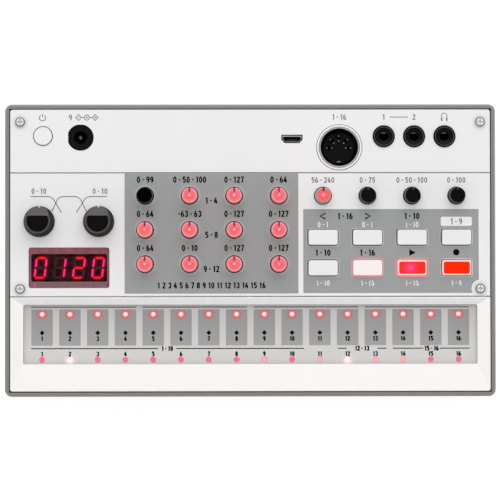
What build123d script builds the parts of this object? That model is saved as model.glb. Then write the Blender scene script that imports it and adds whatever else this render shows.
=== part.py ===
"""Table-top audio sampler: tub, control panel, knobs, buttons, sockets and a touch strip.

Millimetres, +Z up, +Y to the rear. The origin is on the table, under the middle of the case.
"""

import os

from build123d import *

# Clearances and cuts
running_clearance = 0.05  # radial, a shaft or pin in its bushing
seat_clearance = 0.1  # fixed pieces that sit in a hole or pocket
guide_clearance = 0.3  # moving pieces beside fixed ones
overrun = 1.0  # how far a cut runs past the face that it leaves

# Case tub
case_width = 193.0
case_depth = 115.0
case_height = 27.0
case_corner = 2.8
case_draft = 2.0  # how far each side draws in at the underside
case_wall = 2.0
case_floor = 2.0
underside_round = 2.0
rim_thickness = 1.75
rim_band = 1.6  # upright band round the top, above the drafted sides
rim_outer_round = 0.9
rim_inner_bevel = 0.15
ledge_width = 1.6  # how far the panel rests on the tub
ledge_height = 3.0

# Rubber feet
foot_height = 2.0
foot_radius = 5.0
foot_sink = 0.8
foot_edge_round = 0.5
foot_inset_x = 16.5
foot_inset_y = 12.5

# Panel plates
panel_thickness = 2.0
panel_proud = 0.3  # panel top above the rim
panel_gap = 0.35
panel_corner = 1.0
panel_edge_bevel = 0.25
seam_share = -0.1645  # seam between the two plates, of the panel's depth
seam_gap = 0.3
groove_share = 0.2752
groove_width = 0.5
groove_sink = 0.4

# Dished lower frame
dish_land = 0.4
dish_sink = 1.0
strip_side_margin = 5.1
strip_rear_margin = 2.95
strip_front_margin = 10.7
strip_corner = 0.85
lip_thickness = 1.2
lip_reach = 2.5  # tongue of the lower frame under the control panel
lip_root = 1.4
lip_end_gap = 9.0
frame_boss_radius = 2.6
frame_boss_inset = 5.4
frame_boss_share = 0.37
frame_boss_count = 3

# Touch strip
film_thickness = 0.4
film_overlap = 1.0
touch_board_thickness = 1.2
key_count = 16
key_pitch_share = 0.057892  # of the panel's width
step_lens_radius = 0.8
step_lens_inset = 3.75  # from the strip's rear edge
part_lens_radius = 1.0
part_lens_inset = 1.75  # from the strip's front edge
lens_proud = 0.25
lens_round = 0.2

# Batteries and their bay
battery_count = 6
battery_length = 50.5
battery_nub_radius = 2.75
battery_nub_height = 1.2
battery_edge_round = 0.6
battery_gap = 0.5
battery_rest_gap = 0.3
contact_thickness = 0.5
contact_gap = 0.3
contact_side_inset = 2.75  # plates inside the cells' outline
contact_end_inset = 2.25
bay_roof = 1.2
bay_wall = 1.5
bay_head_gap = 0.4
bay_slack_share = 0.13533  # of the free room, between the bay and the case screws' tubes

# Battery door
door_thickness = 1.8
door_seat = 1.2  # how far the door laps the bay's walls
door_corner = 1.0
door_rib_width = 1.0
door_rib_sink = 0.5
door_rib_pitch = 3.0
door_rib_count = 5
door_rib_length = 18.0
tab_width = 8.0
tab_height = 1.2
tab_reach = 2.4
tab_root = 2.2
tab_share = 0.3  # tabs either side of the middle, of the door's width
tab_swing_room = 3.0
latch_width = 14.0
latch_slit = 0.8
latch_length = 7.0
latch_height = 2.2
latch_thickness = 1.0
notch_width = 16.0
notch_depth = 4.0
notch_sink = 1.0

# Boards and their posts
board_thickness = 1.6
board_gap = 0.8  # control board above the bay's roof
board_side_gap = 4.0  # boards inside the panel's edge
board_edge_gap = 2.0
jack_body_height = 12.5
boss_radius = 2.6
boss_room = 0.4
post_radius = 2.0
peg_radius = 0.9
peg_proud = 0.6
control_post_share_x = 0.286
control_post_shares_y = (0.2166, -0.108)
jack_post_shares = ((-0.397, 0.316), (0.397, 0.316), (-0.042, 0.433), (0.042, 0.433))
touch_post_share_x = 0.318
touch_post_inset = 6.0

# Screws
panel_screw_head_radius = 2.0
panel_screw_head_height = 1.2
panel_screw_head_round = 0.6
panel_screw_shank_radius = 1.1
panel_screw_length = 8.0
panel_screw_inset_x = 4.0
panel_screw_inset_rear = 4.9
panel_screw_inset_seam = 3.0
cross_length = 2.4
cross_width = 0.55
cross_sink = 0.8
case_screw_head_radius = 2.3
case_screw_head_height = 1.5
case_screw_shank_radius = 1.25
case_screw_length = 12.0
case_tube_radius = 3.6
case_tube_height = 10.0
case_tube_web = 3.0
case_screw_room = 0.3

# Potentiometers, encoder and small knobs
pot_side = 9.4
pot_gap = 0.3
small_knob_radius = 3.25
small_knob_height = 6.9
small_knob_draft = 2.5  # degrees
small_knob_round = 0.45
small_knob_dish_radius = 2.5
small_knob_dish_sink = 0.2
small_shaft_radius = 2.0
shaft_end_gap = 1.2  # free room for the light under a shaft
knob_hole_gap = 0.3
pointer_width = 0.7
pointer_length = 1.5
pointer_sink = 0.6
knob_pitch_share = 0.092691  # columns, of the panel's width
knob_pitch_y = 13.45
knob_grid_share_x = -0.08
knob_grid_share_y = 0.0722
master_share_x = 0.2903
led_length = 1.6
led_width = 0.8
led_height = 0.7

# Isolator knobs
isolator_height = 9.7  # panel to the top of the knob
isolator_gap = 0.4
isolator_base_radius = 6.1
isolator_top_radius = 4.75
isolator_skirt = 1.0
isolator_rim = 0.45
isolator_dish_sink = 0.35
isolator_facet_start = 1.9
isolator_facet_end = 1.6  # height of the facet's low end above the panel
isolator_notch_width = 1.2
isolator_notch_sink = 1.1
isolator_pitch_share = 0.123676  # of the panel's width
isolator_share_x = -0.3774
isolator_share_y = 0.1025
isolator_shaft_radius = 3.0
isolator_shaft_grip = 6.0
isolator_shaft_flat = 0.7
pot_floor = 0.6

# Push buttons
button_width = 11.5
button_depth = 6.0
button_corner = 0.8
button_height = 1.6
button_edge_round = 0.35
button_hole_bevel = 0.35
button_flange_lip = 0.8
button_flange_thickness = 0.8
button_travel = 0.5
button_pitch_y = 12.0
button_grid_share_y = -0.0086
button_pin_radius = 1.5
button_pin_engage = 0.5
inlay_margin = 0.55
inlay_sink = 0.1
switch_side = 6.0
switch_height = 3.0
switch_well_spare = 0.2
light_offset = 4.2
power_radius = 3.6
power_height = 0.6
power_share_x = -0.4317
power_share_y = 0.4061

# Display
display_share_x = -0.3774
display_share_y = -0.0614
window_margin = 0.775  # window beyond the outer digits' cells
window_depth = 16.0
window_corner = 1.0
window_thickness = 1.2
window_side_ledge = 0.95
display_opening_depth = 10.93
display_opening_corner = 0.9
module_side_inset = 0.675  # module inside the window's sides
module_depth = 14.0
module_gap = 0.2
digit_count = 4
digit_pitch_share = 0.0399894  # of the panel's width
digit_height = 8.75
digit_width_share = 0.649  # of the digits' pitch
segment_thickness = 1.0
segment_gap = 0.12
segment_depth = 0.15
digit_slant_share = 0.12

# Sockets
socket_body_gap = 0.2
audio_jack_share_x = 0.3416
audio_jack_share_y = 0.4043
audio_jack_pitch_share = 0.063294  # of the panel's width
audio_jack_side = 9.2
audio_nose_radius = 4.3
audio_nose_proud = 0.6
audio_nose_round = 0.25
audio_dish_radius = 3.6
audio_dish_sink = 0.8
audio_bore_radius = 1.8
audio_bore_floor = 1.2
midi_share_x = 0.1856
midi_share_y = 0.3655
midi_shell_radius = 8.1
midi_shell_wall = 0.75
midi_shell_round = 0.3
midi_proud = 0.3
midi_hole_bevel = 0.75
midi_face_sink = 4.7
midi_face_radius = 6.15
midi_groove_sink = 3.0
midi_pin_circle = 3.75
midi_pin_radius = 0.85
midi_pin_sink = 4.0
midi_pin_count = 5
midi_key_width = 2.2
midi_key_sink = 1.4
dc_share_x = -0.3536
dc_share_y = 0.4007
dc_side = 10.6
dc_nose_radius = 5.1
dc_left_flat = 0.35
dc_rear_flat = 0.1
dc_face_sink = 0.2
dc_bore_radius = 2.5
dc_bore_depth = 9.5
dc_mouth_bevel = 0.35
dc_pin_radius = 0.8
dc_pin_tip_sink = 1.0
dc_pin_root = 2.0
usb_share_x = 0.0869
usb_share_y = 0.3955
usb_width = 7.5
usb_depth = 2.45
usb_slope = 1.05  # slanted front corners of the socket
usb_slant_share = 0.586  # how much of an offset a slanted corner takes up
usb_wall = 0.3
usb_hole_gap = 0.43  # panel cut-out round the shell
usb_height = 6.0
usb_face_sink = 0.3
usb_housing_width = 9.0
usb_housing_depth = 4.6
usb_tongue_width = 4.2
usb_tongue_depth = 0.7
usb_tongue_sink = 1.2

# Angles
cone_angle = 45.0
half_turn = 180.0

# Levels above the table
underside = foot_height
floor_top = underside + case_floor
rim_top = underside + case_height
band_bottom = rim_top - rim_band
panel_top = rim_top + panel_proud
panel_bottom = panel_top - panel_thickness
ledge_bottom = panel_bottom - ledge_height
flange_top = panel_bottom - seat_clearance
flange_bottom = flange_top - button_flange_thickness
switch_top = flange_bottom - button_travel - guide_clearance
control_board_top = switch_top - switch_height
control_board_bottom = control_board_top - board_thickness
bay_top = control_board_bottom - board_gap
bay_ceiling = bay_top - bay_roof
door_top = underside + door_thickness
battery_diameter = bay_ceiling - bay_head_gap - door_top - battery_rest_gap
battery_level = door_top + battery_rest_gap + battery_diameter / 2
jack_board_top = panel_bottom - jack_body_height
jack_board_bottom = jack_board_top - board_thickness
film_bottom = panel_bottom - film_thickness
touch_board_bottom = film_bottom - touch_board_thickness
pot_top = panel_bottom - pot_gap
socket_body_top = panel_bottom - socket_body_gap
module_top = panel_bottom - module_gap


def spread(count, pitch, middle=0.0):
    """Evenly spaced places about a middle."""
    return [middle + (i - (count - 1) / 2) * pitch for i in range(count)]


# Plan sizes and places
panel_width = case_width - 2 * (rim_thickness + panel_gap)
panel_depth = case_depth - 2 * (rim_thickness + panel_gap)
seam_y = panel_depth * seam_share
groove_y = panel_depth * groove_share
panel_front = seam_y + seam_gap / 2
panel_rear = panel_depth / 2
frame_rear = seam_y - seam_gap / 2
frame_front = -panel_depth / 2
strip_width = panel_width - 2 * strip_side_margin
strip_rear = frame_rear - strip_rear_margin
strip_front = frame_front + strip_front_margin
strip_depth = strip_rear - strip_front
strip_y = (strip_rear + strip_front) / 2
screw_x = panel_width / 2 - panel_screw_inset_x
screw_rear_y = panel_rear - panel_screw_inset_rear
screw_seam_y = panel_front + panel_screw_inset_seam
panel_screw_places = [(x, y) for x in (-screw_x, screw_x) for y in (screw_seam_y, screw_rear_y)]
frame_boss_y = frame_front + frame_boss_inset
frame_boss_step = panel_width * frame_boss_share
frame_boss_places = [(x, frame_boss_y) for x in spread(frame_boss_count, frame_boss_step)]
board_width = panel_width - 2 * board_side_gap
control_board_rear = groove_y - board_edge_gap
control_board_front = seam_y + board_edge_gap
jack_board_front = groove_y + board_edge_gap
jack_board_rear = panel_rear - board_edge_gap
boss_notch_radius = boss_radius + boss_room
control_post_places = [
    (side * panel_width * control_post_share_x, panel_depth * share)
    for side in (-1, 1)
    for share in control_post_shares_y
]
jack_post_places = [(panel_width * a, panel_depth * b) for a, b in jack_post_shares]
touch_post_places = [
    (side * panel_width * touch_post_share_x, y)
    for side in (-1, 1)
    for y in (strip_rear - touch_post_inset, strip_front + touch_post_inset)
]
power_place = (panel_width * power_share_x, panel_depth * power_share_y)
dc_place = (panel_width * dc_share_x, panel_depth * dc_share_y)
usb_place = (panel_width * usb_share_x, panel_depth * usb_share_y)
midi_place = (panel_width * midi_share_x, panel_depth * midi_share_y)
battery_pitch = battery_diameter + battery_gap
contact_width = battery_diameter - 2 * contact_side_inset
contact_height = battery_diameter - 2 * contact_end_inset
contact_space = contact_thickness + 2 * contact_gap + battery_nub_height
bay_width = battery_count * battery_pitch + battery_gap
bay_depth = battery_length + 2 * contact_space
door_width = bay_width + 2 * door_seat
door_depth = bay_depth + 2 * door_seat
opening_width = door_width + 2 * guide_clearance
opening_depth = door_depth + 2 * guide_clearance
bay_outer_width = opening_width + 2 * bay_wall
bay_outer_depth = opening_depth + 2 * bay_wall
bay_room_front = frame_boss_y + case_tube_radius
bay_room_rear = midi_place[1] - midi_shell_radius
bay_slack = bay_room_rear - bay_room_front - bay_outer_depth
bay_y = bay_room_front + bay_slack * bay_slack_share + bay_outer_depth / 2
door_rear = bay_y + door_depth / 2
door_front = bay_y - door_depth / 2
tab_x = door_width * tab_share
foot_x = case_width / 2 - foot_inset_x
foot_y = case_depth / 2 - foot_inset_y
foot_places = [(x, y) for x in (-foot_x, foot_x) for y in (-foot_y, foot_y)]
display_x = panel_width * display_share_x
display_y = panel_depth * display_share_y
digit_pitch = panel_width * digit_pitch_share
digit_width = digit_pitch * digit_width_share
window_width = digit_count * digit_pitch + 2 * window_margin
module_width = window_width - 2 * module_side_inset
display_opening_width = window_width - 2 * window_side_ledge

knob_pitch_x = panel_width * knob_pitch_share
knob_grid_x = panel_width * knob_grid_share_x
knob_grid_y = panel_depth * knob_grid_share_y
button_grid_y = panel_depth * button_grid_share_y
isolator_pitch = panel_width * isolator_pitch_share
isolator_x = panel_width * isolator_share_x
isolator_y = panel_depth * isolator_share_y
audio_jack_pitch = panel_width * audio_jack_pitch_share
audio_x = panel_width * audio_jack_share_x
audio_y = panel_depth * audio_jack_share_y

knob_names = (
    ("sample_knob", "start_knob", "length_knob", "cutoff_knob"),
    ("speed_knob", "pitch_amount_knob", "pitch_attack_knob", "pitch_decay_knob"),
    ("level_knob", "pan_knob", "amp_attack_knob", "amp_decay_knob"),
)
master_names = ("tempo_knob", "swing_knob", "reverb_knob", "volume_knob")
button_names = (
    ("part_back_button", "part_next_button", "mute_button", "shift_button"),
    ("memory_button", "step_button", "play_button", "record_button"),
)
inlaid_buttons = ("play_button", "record_button")
lit_buttons = ("step_button", "play_button", "record_button")
audio_names = ("sync_in_jack", "sync_out_jack", "headphone_jack")
isolator_names = ("bass", "treble")

knob_columns = spread(len(knob_names[0]), knob_pitch_x, knob_grid_x)
knob_rows = spread(len(knob_names), -knob_pitch_y, knob_grid_y)
master_columns = spread(len(master_names), knob_pitch_x, panel_width * master_share_x)
master_y = knob_rows[0]
button_rows = spread(len(button_names), -button_pitch_y, button_grid_y)
isolator_columns = spread(len(isolator_names), isolator_pitch, isolator_x)
isolator_places = [(x, isolator_y) for x in isolator_columns]
audio_places = [(x, audio_y) for x in spread(len(audio_names), audio_jack_pitch, audio_x)]
knob_places = {
    name: (x, y)
    for row, y in zip(knob_names, knob_rows)
    for name, x in zip(row, knob_columns)
}
master_places = {name: (x, master_y) for name, x in zip(master_names, master_columns)}
button_places = {
    name: (x, y)
    for row, y in zip(button_names, button_rows)
    for name, x in zip(row, master_columns)
}
small_knob_places = {**knob_places, **master_places}
encoder_place = knob_places["sample_knob"]
pot_places = [place for name, place in small_knob_places.items() if name != "sample_knob"]
led_knob_places = [p for n, p in knob_places.items() if n != "sample_knob"]
led_knob_places.append(master_places["tempo_knob"])
key_pitch = panel_width * key_pitch_share
key_places_x = spread(key_count, key_pitch)
step_lens_places = [(x, strip_rear - step_lens_inset) for x in key_places_x]
part_lens_places = [(x, strip_front + part_lens_inset) for x in key_places_x]

os.makedirs("parts", exist_ok=True)


def keep(part, name):
    """Labels one finished piece and writes it as its own file."""
    part.label = name
    export_step(part, f"parts/{name}.step")


def level(height, x=0.0, y=0.0):
    """A flat plane at a height, with its origin over a place."""
    return Plane(origin=(x, y, height))


def case_size(height):
    """Width and depth of the tub's outside at a level."""
    inset = case_draft * (band_bottom - height) / (band_bottom - underside)
    return case_width - 2 * inset, case_depth - 2 * inset


def rounded_band(width, depth, corner, bottom, top, x=0.0, y=0.0, mode=Mode.ADD):
    """A rounded block between two levels, in the part that is open."""
    with BuildSketch(level(bottom, x, y)) as profile:
        RectangleRounded(width, depth, corner)
    extrude(profile.sketch, amount=top - bottom, mode=mode)


def plain_band(width, depth, bottom, top, x=0.0, y=0.0, mode=Mode.ADD):
    """A square block between two levels, in the part that is open."""
    with BuildSketch(level(bottom, x, y)) as profile:
        Rectangle(width, depth)
    extrude(profile.sketch, amount=top - bottom, mode=mode)


def round_bands(places, radius, bottom, top, mode=Mode.ADD):
    """Upright round pins or holes at places, between two levels."""
    with BuildSketch(level(bottom)) as profile:
        with Locations(*places):
            Circle(radius)
    extrude(profile.sketch, amount=top - bottom, mode=mode)


def cross_recess(places, bottom):
    """Cross slots in screw heads, from a level upwards."""
    with BuildSketch(level(bottom)) as profile:
        with Locations(*places):
            Rectangle(cross_length, cross_width)
            Rectangle(cross_width, cross_length)
    extrude(profile.sketch, amount=cross_sink, mode=Mode.SUBTRACT)


# Case tub with its battery bay, posts and bosses
tube_top = underside + case_tube_height
tube_bore_top = tube_top - case_tube_web
with BuildPart() as bottom_case:
    with BuildSketch(level(underside)):
        RectangleRounded(*case_size(underside), case_corner)
    with BuildSketch(level(band_bottom)):
        RectangleRounded(case_width, case_depth, case_corner)
    loft(ruled=True)
    rounded_band(case_width, case_depth, case_corner, band_bottom, rim_top)
    fillet(bottom_case.edges().group_by(Axis.Z)[0], underside_round)
    fillet(bottom_case.edges().group_by(Axis.Z)[-1], rim_outer_round)
    low_width, low_depth = case_size(floor_top)
    high_width, high_depth = case_size(ledge_bottom)
    with BuildSketch(level(floor_top)):
        RectangleRounded(low_width - 2 * case_wall, low_depth - 2 * case_wall, panel_corner)
    with BuildSketch(level(ledge_bottom)):
        RectangleRounded(high_width - 2 * case_wall, high_depth - 2 * case_wall, panel_corner)
    loft(ruled=True, mode=Mode.SUBTRACT)
    ledge_open_width = panel_width - 2 * ledge_width
    ledge_open_depth = panel_depth - 2 * ledge_width
    rounded_band(ledge_open_width, ledge_open_depth, panel_corner,
                 ledge_bottom, panel_bottom, mode=Mode.SUBTRACT)
    rim_open_width = case_width - 2 * rim_thickness
    rim_open_depth = case_depth - 2 * rim_thickness
    rim_corner = panel_corner + panel_gap
    rounded_band(rim_open_width, rim_open_depth, rim_corner,
                 panel_bottom, rim_top, mode=Mode.SUBTRACT)
    rim_face = bottom_case.faces().filter_by(Axis.Z).sort_by(Axis.Z)[-1]
    chamfer(rim_face.inner_wires()[0].edges(), rim_inner_bevel)
    plain_band(bay_outer_width, bay_outer_depth, floor_top, bay_top, y=bay_y)
    round_bands(panel_screw_places, boss_radius, floor_top, panel_bottom)
    round_bands(control_post_places, post_radius, floor_top, control_board_bottom)
    round_bands(control_post_places, peg_radius, control_board_bottom, control_board_top + peg_proud)
    round_bands(jack_post_places, post_radius, floor_top, jack_board_bottom)
    round_bands(jack_post_places, peg_radius, jack_board_bottom, jack_board_top + peg_proud)
    round_bands(touch_post_places, post_radius, floor_top, touch_board_bottom)
    round_bands(frame_boss_places, case_tube_radius, floor_top, tube_top)
    rounded_band(opening_width, opening_depth, door_corner + guide_clearance,
                 underside - overrun, door_top + seat_clearance, y=bay_y, mode=Mode.SUBTRACT)
    plain_band(bay_width, bay_depth, door_top, bay_ceiling, y=bay_y, mode=Mode.SUBTRACT)
    slot_depth = tab_reach + tab_root + bay_wall
    for side in (-1, 1):
        plain_band(tab_width + 2 * guide_clearance, 2 * slot_depth, door_top,
                   floor_top + tab_height + tab_swing_room, side * tab_x, door_rear,
                   mode=Mode.SUBTRACT)
    plain_band(latch_width, 2 * door_seat + 2 * guide_clearance, door_top,
               door_top + latch_height + guide_clearance, y=door_front, mode=Mode.SUBTRACT)
    notch_y = door_front - guide_clearance
    with BuildSketch(level(underside - overrun, y=notch_y)):
        Ellipse(notch_width / 2, notch_depth)
    extrude(amount=overrun + notch_sink, mode=Mode.SUBTRACT)
    pilot = panel_screw_shank_radius + running_clearance
    round_bands(panel_screw_places, pilot, panel_bottom - panel_screw_length,
                panel_bottom + overrun, mode=Mode.SUBTRACT)
    round_bands(frame_boss_places, case_screw_head_radius + case_screw_room,
                underside - overrun, tube_bore_top, mode=Mode.SUBTRACT)
    round_bands(frame_boss_places, case_screw_shank_radius + case_screw_room,
                tube_bore_top, tube_top + overrun, mode=Mode.SUBTRACT)
    round_bands(foot_places, foot_radius + seat_clearance, underside - overrun,
                underside + foot_sink, mode=Mode.SUBTRACT)
keep(bottom_case.part, "bottom_case")

# Rubber feet
with BuildPart() as rubber_feet:
    round_bands(foot_places, foot_radius, 0.0, underside + foot_sink)
    fillet(rubber_feet.edges().group_by(Axis.Z)[0], foot_edge_round)
keep(rubber_feet.part, "rubber_feet")


# Battery door: the hinge line is its lower rear edge
with BuildPart() as battery_door:
    rounded_band(door_width, door_depth, door_corner, underside, door_top, y=bay_y)
    for side in (-1, 1):
        tab_bottom = floor_top + guide_clearance
        tab_end = door_rear + tab_reach
        tab_start = door_rear - tab_root
        plain_band(tab_width, tab_root, door_top, tab_bottom + tab_height, side * tab_x,
                   door_rear - tab_root / 2)
        plain_band(tab_width, tab_end - tab_start, tab_bottom, tab_bottom + tab_height,
                   side * tab_x, (tab_end + tab_start) / 2)
    tongue_y = door_front + latch_length / 2
    for side in (-1, 1):
        plain_band(latch_slit, latch_length, underside - overrun, door_top + overrun,
                   side * (latch_width + latch_slit) / 2, tongue_y, mode=Mode.SUBTRACT)
    plain_band(latch_width - latch_slit, latch_thickness, door_top, door_top + latch_height,
               y=door_front + latch_thickness / 2)
    rib_y = door_front + latch_length + door_rib_pitch
    with BuildSketch(level(underside, y=rib_y)):
        with Locations(*[(0.0, i * door_rib_pitch) for i in range(door_rib_count)]):
            SlotOverall(door_rib_length, door_rib_width)
    extrude(amount=door_rib_sink, mode=Mode.SUBTRACT)
keep(battery_door.part, "battery_door")

# Batteries, laid side by side with alternate ends to the rear
battery_columns = spread(battery_count, battery_pitch)
with BuildPart() as batteries:
    for i, cell_x in enumerate(battery_columns):
        facing = 1 if i % 2 == 0 else -1
        cell_start = Plane(origin=(cell_x, bay_y - facing * battery_length / 2, battery_level),
                           z_dir=(0, facing, 0))
        with BuildSketch(cell_start):
            Circle(battery_diameter / 2)
        extrude(amount=battery_length)
        with BuildSketch(cell_start.offset(battery_length)):
            Circle(battery_nub_radius)
        extrude(amount=battery_nub_height)
    can_edges = batteries.edges().filter_by(GeomType.CIRCLE)
    can_ends = [e for e in can_edges if e.radius > battery_nub_radius + battery_edge_round]
    fillet(can_ends, battery_edge_round)
keep(batteries.part, "batteries")

# Contact plates on the two end walls of the bay
with BuildPart() as battery_contacts:
    for cell_x in battery_columns:
        for end in (-1, 1):
            plate_y = bay_y + end * (bay_depth - contact_thickness) / 2
            plain_band(contact_width, contact_thickness, battery_level - contact_height / 2,
                       battery_level + contact_height / 2, cell_x, plate_y)
keep(battery_contacts.part, "battery_contacts")


def board(front, rear, bottom, pegs):
    """A circuit board with peg holes and notches round the screw bosses."""
    with BuildPart() as plate:
        plain_band(board_width, rear - front, bottom, bottom + board_thickness,
                   y=(front + rear) / 2)
        round_bands(panel_screw_places, boss_notch_radius, bottom - overrun,
                    bottom + board_thickness + overrun, mode=Mode.SUBTRACT)
        round_bands(pegs, peg_radius + seat_clearance, bottom - overrun,
                    bottom + board_thickness + overrun, mode=Mode.SUBTRACT)
    return plate.part


control_board = board(control_board_front, control_board_rear, control_board_bottom,
                      control_post_places)
keep(control_board, "control_board")
jack_board = board(jack_board_front, jack_board_rear, jack_board_bottom, jack_post_places)
keep(jack_board, "jack_board")

# Touch strip: printed film over its board, with a row of lenses at each edge
film_width = strip_width + 2 * film_overlap
film_depth = strip_depth + 2 * film_overlap


def touch_layer(bottom, top):
    """One layer of the touch strip with the lens holes through it."""
    with BuildPart() as layer:
        rounded_band(film_width, film_depth, strip_corner, bottom, top, y=strip_y)
        round_bands(step_lens_places, step_lens_radius + seat_clearance, bottom - overrun,
                    top + overrun, mode=Mode.SUBTRACT)
        round_bands(part_lens_places, part_lens_radius + seat_clearance, bottom - overrun,
                    top + overrun, mode=Mode.SUBTRACT)
    return layer.part


touch_film = touch_layer(film_bottom, panel_bottom)
keep(touch_film, "touch_film")
touch_board = touch_layer(touch_board_bottom, film_bottom)
keep(touch_board, "touch_board")


def lens_row(places, radius):
    """A row of small round lights that stand up through the touch strip."""
    with BuildPart() as lenses:
        round_bands(places, radius, touch_board_bottom, panel_bottom + lens_proud)
        fillet(lenses.edges().group_by(Axis.Z)[-1], lens_round)
    return lenses.part


step_led_lenses = lens_row(step_lens_places, step_lens_radius)
keep(step_led_lenses, "step_led_lenses")
part_led_lenses = lens_row(part_lens_places, part_lens_radius)
keep(part_led_lenses, "part_led_lenses")

# Control panel
button_hole_width = button_width + 2 * guide_clearance
button_hole_depth = button_depth + 2 * guide_clearance
knob_hole_radius = small_knob_radius + knob_hole_gap


def dc_outline(grow):
    """The power socket's round nose, a little flat on its left and at its rear."""
    radius = dc_nose_radius + grow
    Circle(radius)
    with Locations((dc_left_flat / 2, -dc_rear_flat / 2)):
        Rectangle(2 * radius - dc_left_flat, 2 * radius - dc_rear_flat, mode=Mode.INTERSECT)


def usb_outline(grow):
    """The socket's outline, wide at the rear with slanted front corners."""
    half_width = usb_width / 2 + grow
    half_depth = usb_depth / 2 + grow
    slant = usb_slope + usb_slant_share * grow
    with BuildLine() as outline:
        Polyline(
            (-half_width, half_depth),
            (half_width, half_depth),
            (half_width, slant - half_depth),
            (half_width - slant, -half_depth),
            (slant - half_width, -half_depth),
            (-half_width, slant - half_depth),
            close=True,
        )
    make_face(outline.edges())


with BuildPart() as control_panel:
    plate_depth = panel_rear - panel_front
    plain_band(panel_width, plate_depth, panel_bottom, panel_top,
               y=(panel_rear + panel_front) / 2)
    fillet(control_panel.edges().filter_by(Axis.Z).group_by(Axis.Y)[-1], panel_corner)
    chamfer(control_panel.edges().group_by(Axis.Z)[-1], panel_edge_bevel)
    round_bands([midi_place], midi_shell_radius + seat_clearance, panel_bottom, panel_top,
                mode=Mode.SUBTRACT)
    top_face = control_panel.faces().filter_by(Axis.Z).sort_by(Axis.Z)[-1]
    chamfer(top_face.inner_wires()[0].edges(), midi_hole_bevel)
    with BuildSketch(level(panel_bottom)):
        with Locations(*button_places.values()):
            RectangleRounded(button_hole_width, button_hole_depth, button_corner + guide_clearance)
    extrude(amount=panel_thickness, mode=Mode.SUBTRACT)
    with BuildSketch(level(panel_top)):
        with Locations(*button_places.values()):
            RectangleRounded(button_hole_width + 2 * button_hole_bevel,
                             button_hole_depth + 2 * button_hole_bevel,
                             button_corner + guide_clearance + button_hole_bevel)
    extrude(amount=-button_hole_bevel, taper=cone_angle, mode=Mode.SUBTRACT)
    round_bands(small_knob_places.values(), knob_hole_radius, panel_bottom, panel_top,
                mode=Mode.SUBTRACT)
    round_bands(isolator_places, isolator_shaft_radius + knob_hole_gap, panel_bottom, panel_top,
                mode=Mode.SUBTRACT)
    round_bands([power_place], power_radius + guide_clearance, panel_bottom, panel_top,
                mode=Mode.SUBTRACT)
    with BuildSketch(level(panel_bottom, *dc_place)):
        dc_outline(seat_clearance)
    extrude(amount=panel_thickness, mode=Mode.SUBTRACT)
    round_bands(audio_places, audio_nose_radius + seat_clearance, panel_bottom, panel_top,
                mode=Mode.SUBTRACT)
    round_bands(panel_screw_places, panel_screw_shank_radius + seat_clearance, panel_bottom,
                panel_top, mode=Mode.SUBTRACT)
    with BuildSketch(level(panel_bottom, *usb_place)):
        usb_outline(usb_hole_gap)
    extrude(amount=panel_thickness, mode=Mode.SUBTRACT)
    rounded_band(window_width, window_depth, window_corner, panel_top - window_thickness,
                 panel_top, display_x, display_y, mode=Mode.SUBTRACT)
    rounded_band(display_opening_width, display_opening_depth, display_opening_corner, panel_bottom,
                 panel_top, display_x, display_y, mode=Mode.SUBTRACT)
    plain_band(panel_width + overrun, groove_width, panel_top - groove_sink, panel_top,
               y=groove_y, mode=Mode.SUBTRACT)
keep(control_panel.part, "control_panel")

# Lower frame, dished round the touch strip
with BuildPart() as keyboard_bezel:
    frame_depth = frame_rear - frame_front
    frame_y = (frame_rear + frame_front) / 2
    plain_band(panel_width, frame_depth, panel_bottom, panel_top, y=frame_y)
    fillet(keyboard_bezel.edges().filter_by(Axis.Z).group_by(Axis.Y)[0], panel_corner)
    chamfer(keyboard_bezel.edges().group_by(Axis.Z)[-1], panel_edge_bevel)
    with BuildSketch(level(panel_top - dish_sink, y=strip_y)):
        Rectangle(strip_width, strip_depth)
    with BuildSketch(level(panel_top, y=frame_y)):
        Rectangle(panel_width - 2 * dish_land, frame_depth - 2 * dish_land)
    loft(ruled=True, mode=Mode.SUBTRACT)
    rounded_band(strip_width, strip_depth, strip_corner, panel_bottom, panel_top, y=strip_y,
                 mode=Mode.SUBTRACT)
    lip_front = frame_rear - lip_root
    lip_rear = panel_front + lip_reach
    seal_rear = panel_front + seat_clearance
    plain_band(ledge_open_width - 2 * seat_clearance, seal_rear - lip_front,
               panel_bottom - lip_thickness, panel_bottom, y=(lip_front + seal_rear) / 2)
    plain_band(panel_width - 2 * lip_end_gap, lip_rear - lip_front, panel_bottom - lip_thickness,
               panel_bottom, y=(lip_front + lip_rear) / 2)
    round_bands(frame_boss_places, frame_boss_radius, tube_top, panel_bottom)
    round_bands(frame_boss_places, case_screw_shank_radius + running_clearance, tube_top,
                tube_bore_top + case_screw_length + overrun, mode=Mode.SUBTRACT)
keep(keyboard_bezel.part, "keyboard_bezel")

# Screws
with BuildPart() as panel_screws:
    head_top = panel_top + panel_screw_head_height
    round_bands(panel_screw_places, panel_screw_head_radius, panel_top, head_top)
    fillet(panel_screws.edges().group_by(Axis.Z)[-1], panel_screw_head_round)
    round_bands(panel_screw_places, panel_screw_shank_radius,
                panel_bottom - panel_screw_length + seat_clearance, panel_top)
    cross_recess(panel_screw_places, head_top - cross_sink)
keep(panel_screws.part, "panel_screws")

with BuildPart() as case_screws:
    screw_seat = tube_bore_top
    round_bands(frame_boss_places, case_screw_head_radius, screw_seat - case_screw_head_height,
                screw_seat)
    round_bands(frame_boss_places, case_screw_shank_radius, screw_seat,
                screw_seat + case_screw_length)
    cross_recess(frame_boss_places, screw_seat - case_screw_head_height)
keep(case_screws.part, "case_screws")

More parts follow.
